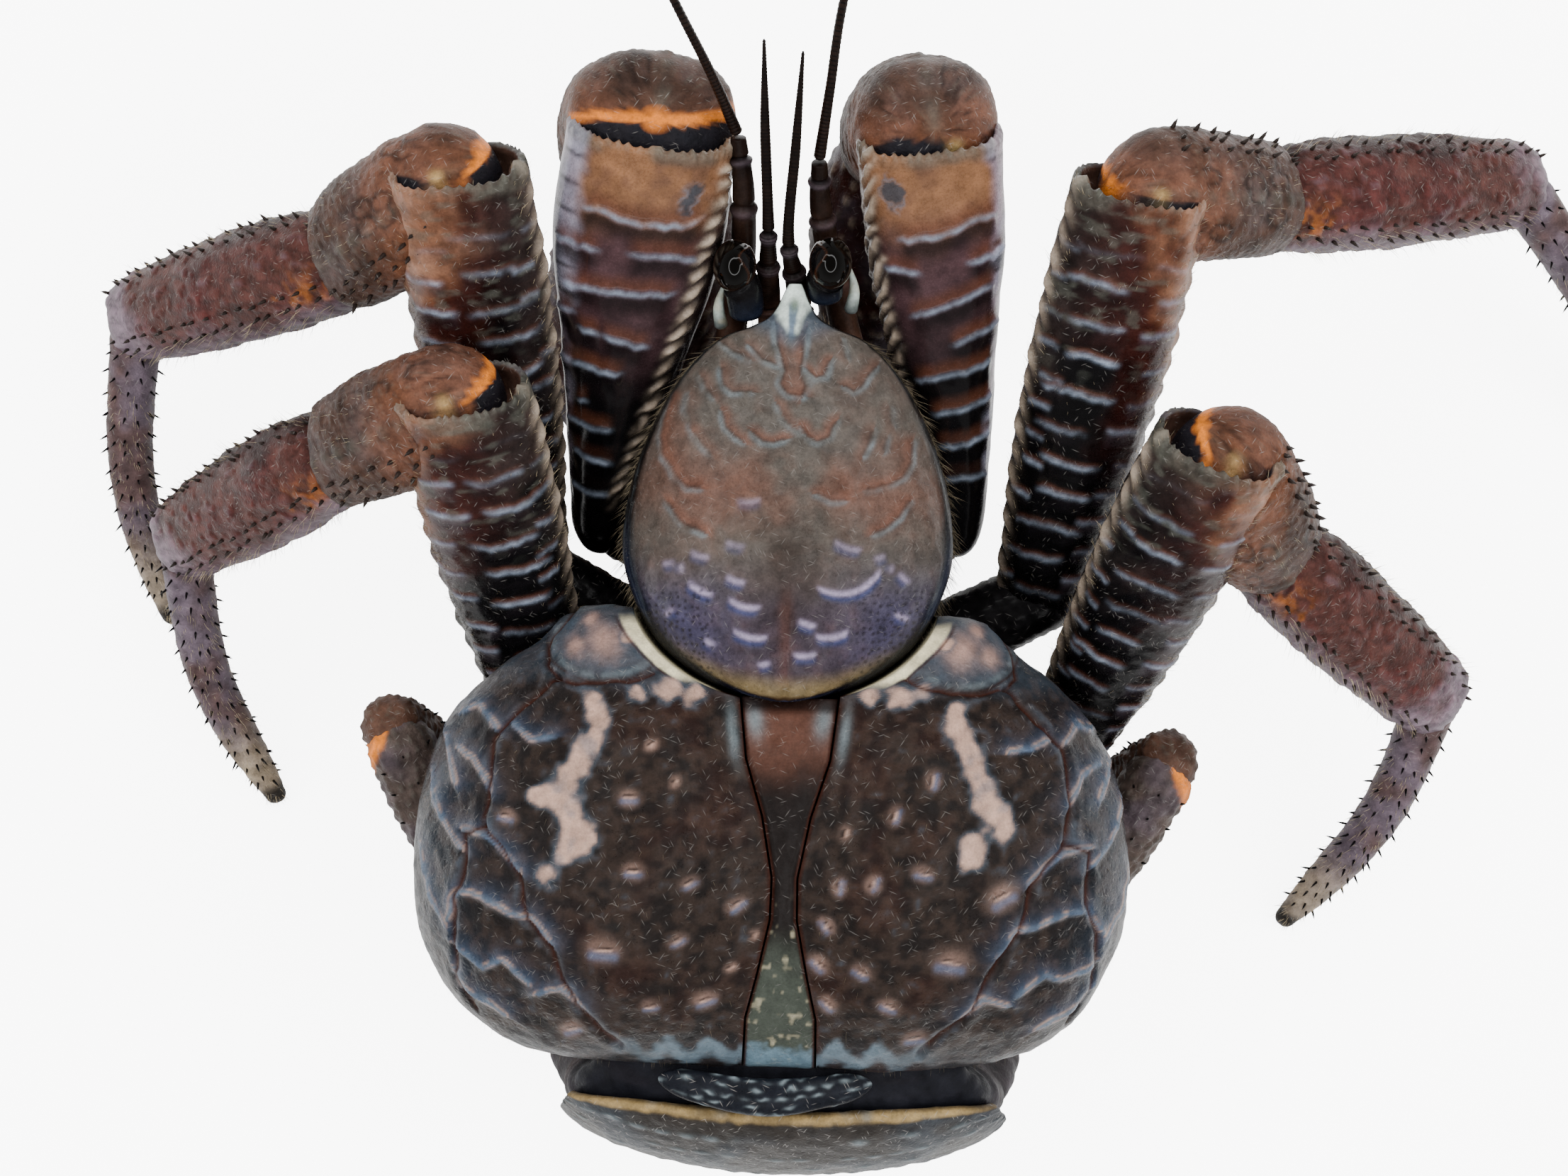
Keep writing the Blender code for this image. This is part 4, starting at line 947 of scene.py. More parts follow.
def cover_marks(x, y, side, tint, height, points):
    """Markings of one gill cover in plan, with the relief that goes with them; the pale lip beside each
    spot's slit is a painted highlight.
    """
    sign = SIDES[side]
    mirrored = as_left(x, side)
    fine = cloud(points, 1.5, seed=12, layers=2)
    wavy_x = mirrored + 0.5 * cloud(points, 5, seed=13, layers=2)
    wavy_y = y + 0.5 * cloud(points, 5, seed=14, layers=2)

    edge_height, edge_pale = edge_fields(wavy_x, wavy_y, [line[::-1] for line in COVER_EDGES])
    height = height + 0.5 * edge_height
    blobs = sum(np.exp(-((x - px) ** 2 + (y - py) ** 2) / (r * r)) for px, py, r in BLOTCHES[side])
    patch = ramp(blobs + 0.3 * fine, 0.36, 0.9)
    halo = ramp(blobs + 0.25 * fine, 0.12, 0.42)
    grey = ramp(cloud(points, 2.2, seed=15, layers=2), 0, 0.7)
    pinkish = lay(hue("blotch") * (1 + 0.15 * fine[..., None]), "gill_blue", 0.45 * grey, 1.3)
    tint = coats(
        tint,
        ("gill_blue", 0.75 * edge_height * edge_height, (1, 1.1, 1.4)),
        ("scallop_line", 0.5 * edge_pale * (0.7 + 0.5 * fine), (1.1, 1.2, 1.35)),
        ("blotch", 0.6 * bell(edge_pale, 0.5, 0.3) * ramp(fine, -0.5, 0.4), (0.9, 0.85, 0.75)),
        ("gill_blue", 0.45 * halo, 0.9),
        (pinkish, 0.88 * patch),
    )

    for px, py, radius, turn in SPOTS[side]:
        radius = 1.08 * radius
        faint = 0.6 + 0.5 * scatter(px, py)
        v, u = turned(x, y, px, py, turn)
        away = np.hypot(v / 1.15, (u + 0.25) * 1.15) + 0.3 * fine
        blue = bell(u, -0.45 * radius, 0.25 * radius) * ramp(np.abs(v), radius, radius * 0.6)
        slit = ramp(np.abs(v), radius * 0.62, radius * 0.3)
        tint = coats(
            tint,
            ("blotch", 0.35 * faint * ramp(away, radius * 1.4, radius * 0.6), (0.4, 0.42, 0.45)),
            ("blotch", 0.6 * faint * ramp(away, radius, radius * 0.1), (0.62, 0.6, 0.62)),
            ("gill_blue", 0.6 * blue * (radius > 1.4), (1.1, 1.2, 1.6)),
            # Painted highlight: a pale lip along one side of each dark slit.
            ("blotch", 0.7 * bell(u, -0.3, 0.17) * slit * (0.7 + 0.4 * fine), 1.2),
            ("gill_dark", 0.85 * bell(u, 0.05, 0.16) * slit, 0.3),
        )
        height = height + 0.12 * bell(away, 0, radius)

    for line in COVER_SUTURES:
        away, _ = from_line(wavy_x, wavy_y, line)
        height = height - size("groove") * bell(away, 0, 0.38) + 0.18 * bell(away, 1.1, 0.8)
        tint = lay(tint, "gill_blue", 0.3 * bell(away, 0.85, 0.4) * ramp(fine, -0.2, 0.6))
        tint = lay(tint, "suture", 0.95 * bell(away, 0, 0.26))
    away = np.abs(x - hourglass_x(y, sign))
    height = height - 0.5 * bell(away, 0, 0.5)
    tint = lay(tint, "suture", 0.9 * ramp(away, 0.7, 0.25) * ramp(y, 18.5, 17))
    pale = bell(away, 1.5, 0.7) * bell(y, 13.5, 3.6)
    tint = lay(tint, "scallop_line", 0.7 * pale)
    return tint, height


def dress_cover(skin, side):
    """One gill cover: sections of the hind dome from its inner line over the top and round the flank."""
    sign = SIDES[side]
    stations = station_rows(GILL_STATIONS, 250)
    forward, half, top = (stations[:, index : index + 1] for index in range(3))
    from_front, from_rear = GILL_FRONT - forward, forward - GILL_REAR
    edge = dome(from_front / 3) * 0.3 + 0.7
    edge = edge * (dome(from_rear / 3.5) * 0.25 + 0.75)
    half, top = half * (0.5 + 0.5 * edge), GILL_EQUATOR + (top - GILL_EQUATOR) * edge
    inner = hourglass_x(forward, sign)
    notch = sign * shield_half(forward)
    inner = np.where(sign * notch > sign * inner, notch, inner) + sign * HEART_GAP
    share = np.clip(sign * (inner - GILL_MIDDLE) / half, -0.98, 0.98)
    start = np.arccos(np.sign(share) * np.abs(share) ** 1.1)
    steps = np.linspace(0, 1, 280)
    angle = start + (-np.radians(FLANK_END) - start) * steps
    across, up = superellipse(angle, 2.2)
    x = GILL_MIDDLE + sign * half * across
    lift = np.where(up > 0, (top - GILL_EQUATOR) * up, (GILL_EQUATOR - GILL_BOTTOM) * up)
    dip = valley(x, top)
    z = GILL_EQUATOR + lift - np.where(up > 0, dip, 0)
    outer = stack(x, forward, z)

    plan = outer[..., 0] * sign
    upper = ramp(up, -0.15, 0.2)
    soft = cloud(outer, 7, seed=21)
    fine = cloud(outer, 1.3, seed=22, layers=2)
    mirrored_x = as_left(x, side)
    y = outer[..., 1]
    flank = ramp(np.abs(x - GILL_MIDDLE) + 2 * soft, 38, 50)
    front = ramp(y + 1.5 * soft, 18, 22)
    height = 0.3 * soft + 0.07 * fine
    lobe = 1 - np.hypot((mirrored_x + 25.7) / 8.6, (y - 25.4) / 5.4)
    height = height + 1.3 * np.sqrt(np.clip(lobe, 0, 1))
    tint = coats(
        hue("gill_dark"),
        ("suture", 0.35 * ramp(soft, -0.2, 0.8) * ramp(plan, 36, 18)),
        ("gill_blue", 0.85 * flank, 0.14),
        ("gill_blue", 0.6 * front, 0.5),
        ("gill_blue", 0.5 * ramp(lobe, 0, 0.3), 0.8),
    )
    # Painted highlights: soft pale patches on the bulge.
    for px, py, radius in EPAULETTE_HIGHLIGHTS:
        patch = bell(np.hypot(mirrored_x - px, y - py) + 0.3 * fine, 0, radius)
        tint = lay(tint, "blotch", 0.7 * patch, (1.05, 1, 1.05))
    tint = lay(tint, "scallop_line", 0.4 * bell(lobe, 0.1, 0.07) * ramp(fine, -0.6, 0.4))
    tint = lay(tint, "suture", 0.8 * bell(lobe, -0.01, 0.025) * ramp(y, 27, 24.5), 0.5)
    tint, height = cover_marks(x, y, side, tint, height, outer)
    away = sign * x - shield_half(y)
    corner = ramp(away, 2.9, 2.3) * ramp(y, 20, 21.5) * ramp(y, 29.5, 27.5)
    tail = from_rear + 1.2 * np.cos(plan * 1.05) * ramp(plan, 40, 20) + 0.5 * fine
    pale = ramp(tail, 5.6, 4) * ramp(tail, 1, 3) * ramp(plan, 26, 12)
    under = ramp(up, 0, -0.5)
    rear = ramp(from_rear + 0.8 * soft, 7, 2.5)
    tint = coats(
        tint,
        ("cream", 0.95 * corner, 1 + 0.15 * fine[..., None]),
        ("suture", 0.7 * bell(away, 3.1, 0.25) * ramp(y, 20, 21.5) * ramp(y, 29.5, 27.5)),
        ("scallop_line", 0.75 * pale, (1, 1.15, 1.3)),
        ("bag", 0.6 * under),
        ("gill_blue", 0.2 * rear, 0.5),
    )

    wall_x = np.repeat(inner, 26, axis=1)
    low, high = z[:, -1:], z[:, :1]
    rise = np.linspace(0, 1, 28)[1:-1]
    wall_z = np.minimum(low + 2, 40) + (high - 0.3 - np.minimum(low + 2, 40)) * rise
    wall = stack(wall_x, forward, wall_z)
    normal = normals_of(np.concatenate([outer, wall], axis=1))[:, : outer.shape[1]]
    cuts = ramp(steps, 0, 0.004)
    outer = outer + normal * (height * upper * cuts)[..., None]
    grid = np.concatenate([outer, wall], axis=1)
    cream = np.broadcast_to(hue("cream"), wall.shape)
    between = ramp(forward, 19, 20) * np.ones(wall_x.shape)
    wall_tint = lay(np.broadcast_to(hue("suture"), wall.shape), cream, between)
    rough = np.concatenate([0.38 + 0.1 * fine - 0.14 * flank, np.full(wall_x.shape, 0.6)], axis=1)
    skin.add(grid, np.concatenate([tint, wall_tint], axis=1), rough)
    return outer, normal


def dress_heart_plate(skin):
    """The hourglass plate: the dome's surface between the two lines, with a flat underside."""
    stations = station_rows(GILL_STATIONS, 200)
    stations = stations[stations[:, 0] < 18.6]
    forward, half, top = (stations[:, index : index + 1] for index in range(3))
    left, right = hourglass_x(forward, -1) + HEART_GAP, hourglass_x(forward, 1) - HEART_GAP
    across = np.linspace(0, 1, 70)
    x = left + (right - left) * across
    share = np.clip(np.abs(x - GILL_MIDDLE) / half, 0, 0.99)
    rise = (top - GILL_EQUATOR) * (1 - share**2.2) ** (1 / 2.2)
    dip = valley(x, top)
    z = GILL_EQUATOR + rise - dip
    upper = stack(x, forward, z)
    y = upper[..., 1]
    soft = cloud(upper, 4, seed=41)
    fine = cloud(upper, 1.2, seed=42, layers=2)
    edge = np.minimum(across, 1 - across) * (right - left)
    height = -0.5 * bell(edge, 0, 0.6) + 0.12 * soft + 0.06 * fine - 0.6 * ramp(y, 15.5, 18.5)
    corner = bell(edge, 1.6, 1.2) * bell(y, 15.5, 2.4)
    tint = coats(
        hue("gill_dark"),
        ("shield_rust", 0.6 * ramp(y + soft, 4, 13)),
        ("rim", 0.8 * ramp(y + 2 * soft, -12, -22), (0.55, 0.62, 0.6)),
        ("cream", 0.5 * ramp(fine, 0.45, 0.9) * ramp(y, -8, -14), 0.6),
        ("scallop_line", 0.8 * ramp(y + 1.2 * fine, -31, -33), (0.8, 1.05, 1.25)),
        ("scallop_line", 0.8 * corner),
        ("suture", 0.9 * ramp(edge, 0.5, 0.15)),
        ("leg_black", 0.8 * ramp(y, 15.8, 17.4)),
    )
    upper[..., 2] += height
    lower = upper[:, ::-4].copy()
    lower[..., 2] = lower[..., 2] - 4
    grid = np.concatenate([upper, lower], axis=1)
    tint = np.concatenate([tint, np.broadcast_to(hue("suture"), lower.shape)], axis=1)
    skin.add(grid, tint, 0.42)


# ---- limbs


class Limb:
    """Grid of one limb segment, with coordinates for its markings.

    Rings follow a smooth spine; half width and half depth follow the given stations, and an end shrinks as an
    ellipse's end does, or turns in over a rim. 's' is the distance along and 'w' the distance round from the
    top line, positive towards 'outer'; 'quarter' is the distance from the top line to the side.
    """

    def __init__(self, spine, width, depth, rows, columns, up=(0, 0, 1), caps=(4, 3), square=2.3,
                 bow=0, rim=False, outer=1, crowd=0.45):
        spine = np.asarray(spine, float)
        path = smooth(spine, np.linspace(0, 1, 41))
        self.length = np.linalg.norm(np.diff(path, axis=0), axis=1).sum()
        turn = np.linspace(0.06, np.pi / 2, 9)
        first, last = max(caps[0], 0.05), max(caps[1], 0.05)
        start = (first * (1 - np.cos(turn)), np.sin(turn))
        middle = np.linspace(first, self.length - (RIM_ROLL if rim else last), rows)[1:]
        parts = [start, (middle, np.ones(len(middle)))]
        if rim:
            roll = np.linspace(0.2, np.pi, 8)
            parts.append((self.length - RIM_ROLL + RIM_ROLL * np.sin(roll), 0.93 + 0.07 * np.cos(roll)))
            parts.append((self.length - RIM_ROLL - np.linspace(0.6, 2.6, 5), np.linspace(0.85, 0.72, 5)))
        else:
            parts.append((self.length - last * (1 - np.cos(turn[::-1][1:])), np.sin(turn[::-1][1:])))
        place = np.concatenate([part[0] for part in parts])
        shrink = np.concatenate([part[1] for part in parts])
        t = np.clip(place / self.length, 0, 1)
        ahead, behind = smooth(spine, np.minimum(t + 0.02, 1)), smooth(spine, np.maximum(t - 0.02, 0))
        self.tangent = unit(ahead - behind)
        self.side = unit(np.cross(self.tangent, np.asarray(up, float)))
        self.lift = np.cross(self.side, self.tangent)
        centre = smooth(spine, t) + self.lift * (bow * 4 * t * (1 - t))[:, None]
        across, rise = superellipse(ring_angles(columns, crowd), square)
        half_width = (smooth(width, t) * shrink / 2)[:, None] * across
        half_depth = (smooth(depth, t) * shrink / 2)[:, None] * rise
        self.grid = (centre[:, None] + self.side[:, None] * half_width[..., None]
                     + self.lift[:, None] * half_depth[..., None])
        self.normal = normals_of(self.grid)
        steps = np.linalg.norm(self.grid - np.roll(self.grid, 1, axis=1), axis=-1)
        walked = np.cumsum(steps, axis=1)
        top = np.argmax(np.where(np.abs(across) < 0.3, rise, -9))
        round_ = walked - walked[:, top : top + 1]
        whole = walked[:, -1:]
        self.w = -outer * (round_ - whole * np.round(round_ / whole))
        self.s = np.broadcast_to(place[:, None], self.w.shape)
        self.quarter = whole / 4
        self.share = self.w / np.maximum(self.quarter, 0.1)
        self.upper = ramp(rise, -0.35, 0.1) * np.ones(self.w.shape)
        self.soft = cloud(self.grid, 6, seed=51)
        self.fine = cloud(self.grid, 1.4, seed=52, layers=2)
        self.shrink = shrink[:, None]
        self.hold = ramp(self.shrink, 0.3, 0.8)

    def raise_by(self, height, along=None):
        self.grid = self.grid + self.normal * height[..., None]
        if along is not None:
            self.grid = self.grid + self.tangent[:, None] * along[..., None]


def ridge_rows(limb, first, pitch, centre, wide, seed):
    """Height, pale, rusty and painted-shadow weights of one column of staggered wavy ridges, each facing the
    far end; the shadow lies on the gentle slope behind each crest.

    Row k lies at first + k pitch, a little displaced; its line wanders with w, and it is 'wide' long about
    the share 'centre' of the way from the top line to the side.
    """
    shift = limb.s - first
    row = np.round(shift / pitch)
    chance, other, third = (scatter(row, row * 0 + seed, seed=seed + step) for step in (0, 3, 6))
    line = stack(limb.w, row * 7.3, row * 0 + seed)
    wander = 0.55 * cloud(line, 4.5, seed=seed, layers=2) + 0.18 * cloud(line, 1, seed=seed + 1, layers=1)
    u = shift - row * pitch - wander - pitch * 0.16 * (chance - 0.5)
    middle = centre + 0.26 * (other - 0.5)
    window = ramp(np.abs(limb.share - middle), wide * (0.5 + 0.25 * third), wide * (0.28 + 0.2 * third))
    window = window * (0.35 + 0.65 * chance)
    height = window * cliff(u, 1.2, 0.3)
    return height, window * bell(u, -0.15, 0.45), window * bell(u, 0.6, 0.4), window * bell(u, -1.6, 1)


def edge_knobs(limb, share, pitch, slant, wide=1.3):
    """Weight of a rope-like row of slanting knobs along one edge, at that share of the way to the side."""
    place = limb.w - share * limb.quarter
    along = (limb.s + slant * place) / pitch
    size_of = 0.75 + 0.5 * scatter(np.round(along), seed=int(pitch * 10))
    return beat(along, 0.34) * bell(place, 0, wide) * size_of


def rim_marks(limb, tint, wide=2):
    """Notched pale rim at the far end, its small teeth pushed forward, and a dark socket behind it."""
    end = limb.length
    near = ramp(limb.s, end - wide - 1, end - wide + 0.6) * (limb.shrink > 0.9)
    place = (limb.w + 1.4 * limb.soft + 0.3 * limb.fine) / 1.5
    tooth = beat(place, 0.26) * near * (0.4 + 0.6 * scatter(np.round(place), seed=3))
    socket = lay(hue("leg_brown") * 0.6, "joint_dark", ramp(limb.share + 0.3 * limb.soft, -0.5, 0.2))
    tint = coats(
        tint,
        ("rim", 0.45 * near * ramp(limb.soft, -0.6, 0.3), 0.8 + 0.35 * limb.fine[..., None]),
        ("rim", 0.4 * tooth * ramp(limb.s, end - 1, end - 0.3), 1.3),
        (socket, 0.95 * (limb.shrink < 0.9) * np.ones(limb.w.shape)),
    )
    return tint, 0.2 * tooth, 0.5 * tooth * ramp(limb.s, end - 1.2, end - 0.4)


def dress_leg_merus(skin, name, limb):
    """Thigh of a walking leg: black root, maroon middle, orange end, three columns of ridges with painted
    shadow behind each.
    """
    soft = limb.soft
    pair = name.split("_")[0]
    share = limb.s / limb.length
    seed = LEGS.index(name) * 11 + 60
    warmth = share + 0.28 * limb.share + 0.16 * soft
    if pair == "leg3":
        warmth = warmth - 0.1
    grey = ramp(share - 0.5 * limb.share + 0.25 * soft, 0.75, 1.25)
    tint = coats(
        hue("leg_black"),
        ("leg_maroon", ramp(warmth, 0.48, 0.9)),
        (lay(hue("leg_orange"), "tan", 0.35), 0.9 * ramp(warmth, 0.8, 1.12)),
        ("blotch", 0.6 * ramp(warmth, 0.85, 1.2), (0.62, 0.55, 0.5)),
        ("gill_dark", 0.75 * grey, 2),
    )
    tint = dapple(tint, 0.22 * limb.fine)
    height = 0.22 * soft + 0.06 * limb.fine
    fade = ramp(share, 0.95, 0.78) * ramp(share, 0.02, 0.12)
    for first, pitch, centre, wide, strength in ((4, 5.7, -0.16, 0.62, 1), (7, 5.3, 0.5, 0.42, 0.85),
                                                 (5.5, 5, -0.62, 0.26, 0.7)):
        seed += 3
        rise, pale, rust, dark = ridge_rows(limb, first, pitch, centre, wide, seed)
        fading = fade * strength * limb.upper
        height += size("leg_ridge") * rise * fading
        lilac = np.clip(rise, 0, 1) * fading * (0.75 if centre > 0 else 0.15)
        tint = coats(
            tint,
            # Painted shadow behind each ridge.
            ("leg_black", 0.6 * dark * fading),
            ("ridge_rust", 0.7 * rust * fading),
            ("leg_lilac", lilac * ramp(soft, -0.7, 0.4), 1.2),
            ("ridge_line", 0.85 * pale * fading * (0.75 + 0.5 * limb.fine), 1.1),
        )
    scrape = cloud(stack(limb.s * 1.6, limb.w * 0.7, limb.s * 0), 1.8, seed=seed, layers=2)
    knobs = edge_knobs(limb, -0.82, 3.9, 0.9)
    teeth = edge_knobs(limb, 0.96, 4.4, -0.3, 1.2)
    height += size("knob") * (knobs + 0.8 * teeth)
    under = ramp(limb.upper, 0.5, 0)
    tint = coats(
        tint,
        ("rim", 0.35 * ramp(scrape, 0.25, 0.8) * ramp(share, 0.55, 0.8)),
        ("tubercle", 0.8 * knobs),
        ("rim", 0.35 * teeth),
        ("leg_lilac", 0.6 * under, 0.7),
    )
    tint, rise, push = rim_marks(limb, tint)
    limb.raise_by((height + rise) * limb.hold, push)
    skin.add(limb.grid, tint, 0.26 + 0.14 * ramp(share, 0.6, 0.9) + 0.05 * soft)


# Widths of the membrane and of the orange band in a knee joint, by the share of the way to its inner side.
KNEE_BANDS = {
    "leg2_left": (((0.1, 0), (0.45, 1), (0.9, 1.5)), ((0, 0), (0.4, 1.8), (0.9, 2.6))),
    "leg3_left": (((0.1, 0), (0.5, 0.5), (0.9, 0.7)), ((-0.1, 0), (0.3, 1.4), (0.9, 2.4))),
    "leg2_right": (((0.3, 0), (0.9, 0.3)), ((0, 0), (0.5, 0.8), (0.9, 1.4))),
    "leg3_right": (((0.1, 0), (0.45, 1), (0.9, 1.5)), ((0, 0), (0.4, 1.8), (0.9, 2.6))),
    "claw_left": (((-1, 0), (-0.7, 1.6), (0, 2.7), (0.9, 2.7)), ((-1.1, 0.8), (0, 1.6), (1, 1.3))),
    "claw_right": (((-0.5, 0), (0, 2), (0.5, 2), (0.9, 0.3)), ((0, 0), (1, 0))),
}


def knee_fields(grid, knee, direction, radius, inner):
    """How far points lie past the thigh's rim plane, and to its inner side as a share of its radius."""
    away = grid - (knee + direction * RIM_REACH)
    along = away @ direction
    across = unit(np.cross(direction, (0, 0, 1)))
    across = across * np.sign(across[0]) * inner
    off = np.linalg.norm(away - along[..., None] * direction, axis=-1)
    past = np.hypot(np.maximum(along, 0), np.maximum(off - radius, 0))
    return past, away @ across / radius


def dress_carpus(skin, limb, fields, wedge, orange, seed):
    """Knee piece: granular grey-brown with small scale marks, warmer near the joint.

    In the joint a dark membrane and an orange band show; 'wedge' and 'orange' give their widths in
    millimetres at shares of the way to the inner side.
    """
    soft = limb.soft
    past, inner = fields
    past = past + 0.35 * soft
    dark_wide = np.interp(inner, *zip(*wedge))
    band_wide = np.interp(inner, *zip(*orange))
    dots, number = studs(limb.s + 0.5 * limb.fine, limb.w + 0.5 * soft, 1.4, seed=seed)
    grain = ramp(dots, 0.75, 0.2)
    scales, chance = studs(limb.s / 1.6, limb.w, 3.4, seed=seed + 1)
    tint = coats(
        hue("carpus") * (0.95, 0.86, 0.9),
        ("leg_brown", ramp(soft, -0.4, 0.6), 0.85),
        ("leg_orange", 0.45 * ramp(past + 2 * soft, 8, 1)),
        ("gill_dark", 0.5 * ramp(soft, 0.2, 0.9) * ramp(past, 3, 7), 1.6),
        ("leg_black", 0.3 * bell(dots, 0.72, 0.2) * ramp(number, 0.45, 0.8)),
        ("rim", 0.25 * ramp(dots, 0.4, 0.1) * ramp(number, 0.2, 0.7)),
        ("leg_black", 0.6 * bell(scales, 1.2, 0.3) * ramp(chance, 0.55, 0.8)),
    )
    tint = dapple(tint, 0.22 * limb.fine)
    hard = ramp(past, dark_wide + 0.6 * band_wide, dark_wide + band_wide + 1.2)
    knob = bell(inner, -0.3, 0.1) * bell(past, 0.6, 0.7) * float(min(band[1] for band in orange) == 0)
    comb = edge_knobs(limb, -0.1, 3, 0, 1)
    tint = coats(
        tint,
        ("joint_orange", 0.9 * ramp(past, dark_wide - 0.2, dark_wide + 0.3)
         * ramp(past, dark_wide + band_wide + 0.4, dark_wide + band_wide * 0.7) * ramp(band_wide, 0.1, 0.9)),
        ("joint_dark", 0.97 * ramp(past, dark_wide + 0.15, dark_wide - 0.25)),
        ("cream", 0.6 * knob, (0.8, 0.6, 0.34)),
        ("rim", 0.3 * comb * hard),
    )
    notch = ramp(limb.s / limb.length, 0.84, 1) * ramp(limb.share, -0.3, 0.6)
    height = (0.14 * grain + 0.4 * soft + 0.4 * comb + 0.3 * knob) * hard - 2.6 * notch
    limb.raise_by(height * limb.hold)
    skin.add(limb.grid, tint, 0.34 + 0.1 * hard)


def dress_propodus(skin, limb, seed):
    """Shin: reddish-brown with rows of small pale knobs, orange at its root and lilac at its far end."""
    soft, fine = limb.soft, limb.fine
    share = limb.s / limb.length
    wavy_s, wavy_w = limb.s / 1.7 + 1.2 * fine, limb.w + 0.7 * soft + 0.6 * fine
    dots, number = studs(wavy_s, wavy_w, 2.4, seed=seed)
    grain = ramp(dots, 1.3, 0.3) * ramp(number, 0.1, 0.6)
    tint = coats(
        hue("leg_brown") * (0.9, 0.85, 0.95),
        ("leg_maroon", 0.5 + 0.4 * ramp(soft, -0.4, 0.7), (2.4, 2.6, 3.2)),
        ("joint_orange", 0.42 * bell(share + 0.1 * fine, 0.11, 0.05) * bell(limb.share, -0.45, 0.25),
         (0.75, 0.8, 1)),
        ("leg_lilac", 0.8 * ramp(share + 0.1 * soft, 0.76, 0.96), 2),
        ("leg_lilac", 0.75 * ramp(-limb.share + 0.15 * soft, 0.45, 0.9), 1.6),
        ("gill_dark", 0.7 * ramp(limb.share + 0.3 * soft, 0.2, 0.7) * ramp(share, 0.9, 0.6), 1.5),
        ("leg_lilac", 0.3 * ramp(dots, 0.75, 0.2) * ramp(number, 0.5, 0.9)),
        ("leg_black", 0.4 * bell(dots, 1.25, 0.3)),
    )
    tint = dapple(tint, 0.25 * fine)
    notch = ramp(share, 0.14, 0) * ramp(limb.share, -0.3, 0.6)
    limb.raise_by((0.32 * grain + 0.2 * soft - 2.2 * notch) * limb.hold)
    skin.add(limb.grid, tint, 0.42 + 0.08 * fine)


def dress_dactyl(skin, limb, seed):
    """Foot: lilac-brown with rows of dark-tipped spines, a yellowish end and a dark claw."""
    share = limb.s / limb.length
    tint = coats(
        hue("leg_lilac"),
        ("leg_brown", 0.7 * ramp(limb.soft, -0.4, 0.6)),
        ("hair", 0.5 * ramp(share, 0.6, 0.85)),
        ("leg_black", 0.95 * ramp(share, 0.9, 0.95)),
    )
    tint = dapple(tint, 0.25 * limb.fine)
    limb.raise_by(0.12 * limb.fine)
    limb.grid[..., 2] = np.maximum(limb.grid[..., 2], 0)
    skin.add(limb.grid, tint, 0.45)
    spines_on(skin, limb, pitch=3, rows=8, low=0.08, high=0.9, long=size("spine"), seed=seed,
              tint=hue("leg_black"))


def spines_on(skin, limb, pitch, rows, low, high, long, seed, tint, around=(0, 1), wide=0.42):
    """Rows of small spines on a segment's own points, leaning towards its far end."""
    count_rows, count_columns = limb.w.shape
    steps = max(int(limb.length * (high - low) / pitch), 1)
    place, row = (part.reshape(-1) for part in np.meshgrid(np.arange(steps), np.arange(rows)))
    chance = scatter(place, row, seed=seed)
    share = low + (high - low) * (place + 0.5 + 0.5 * (chance - 0.5) + 0.25 * (row % 2)) / steps
    line = np.searchsorted(limb.s[:, 0], np.clip(share, 0, 0.99) * limb.length).clip(0, count_rows - 1)
    turn = around[0] + (around[1] - around[0]) * (row + 0.3 * scatter(row, place, seed=seed + 1)) / rows
    column = (turn * count_columns).astype(int) % count_columns
    roots = limb.grid[line, column]
    ways = limb.normal[line, column] + 0.55 * limb.tangent[line]
    tall = long * (0.7 + 0.6 * scatter(place, row, seed=seed + 2))
    keep = roots[:, 2] > 1.5
    skin.add_spikes(roots[keep], ways[keep], tall[keep], wide, tint, 0.3, sides=4, blunt=0.15)


def claw_rows(limb, lines):
    """Long wavy ridges of a claw's thigh: height, pale crest, rusty band in front and painted shadow behind
    each crest.
    """
    w = limb.w
    height, pale, rust, dark = (np.zeros(w.shape) for _ in range(4))
    for number, (place, centre, half, slope) in enumerate(lines):
        line = stack(w, w * 0 + number * 9.1, w * 0)
        wander = 0.7 * cloud(line, 6, seed=number, layers=1)
        wander = wander + 0.22 * cloud(line, 1.1, seed=40 + number, layers=2)
        u = limb.s - place - wander - slope * (limb.share - centre)
        window = ramp(np.abs(limb.share - centre), half + 0.05, half - 0.1)
        height = np.maximum(height, window * cliff(u, 2.6, 0.35))
        pale = np.maximum(pale, window * bell(u, -0.1, 0.42))
        rust = np.maximum(rust, window * ramp(u, 0.2, 0.7) * ramp(u, 3.4, 0.9))
        dark = np.maximum(dark, window * ramp(u, -0.4, -1) * ramp(u, -5, -1.6))
    return height, pale, rust, dark


# Ridges of a claw's thigh: distance along, middle share, half length as a share, slope.
CLAW_RIDGES = {
    "left": (
        (55.4, -0.05, 0.5, -1), (49.6, 0.48, 0.24, -1), (50.2, -0.28, 0.3, 1), (43.6, 0.1, 0.5, -2.6),
        (38.2, 0.62, 0.18, -1.5), (36, 0.3, 0.12, 0), (35.6, -0.05, 0.22, 2), (30, 0.35, 0.42, -1),
        (24.7, 0.35, 0.07, 0), (20.5, 0.3, 0.34, -1), (14.8, 0.2, 0.3, 0), (9, 0.2, 0.34, 0),
    ),
    "right": (
        (53.5, 0.1, 0.5, 1), (48.4, 0.5, 0.26, 1), (47.5, -0.4, 0.2, -1), (42, 0.1, 0.46, 3),
        (36, 0.4, 0.36, 2), (30, 0.1, 0.5, 1), (24, 0.2, 0.44, 1), (18, 0.2, 0.4, 0), (12, 0.2, 0.4, 0),
    ),
}


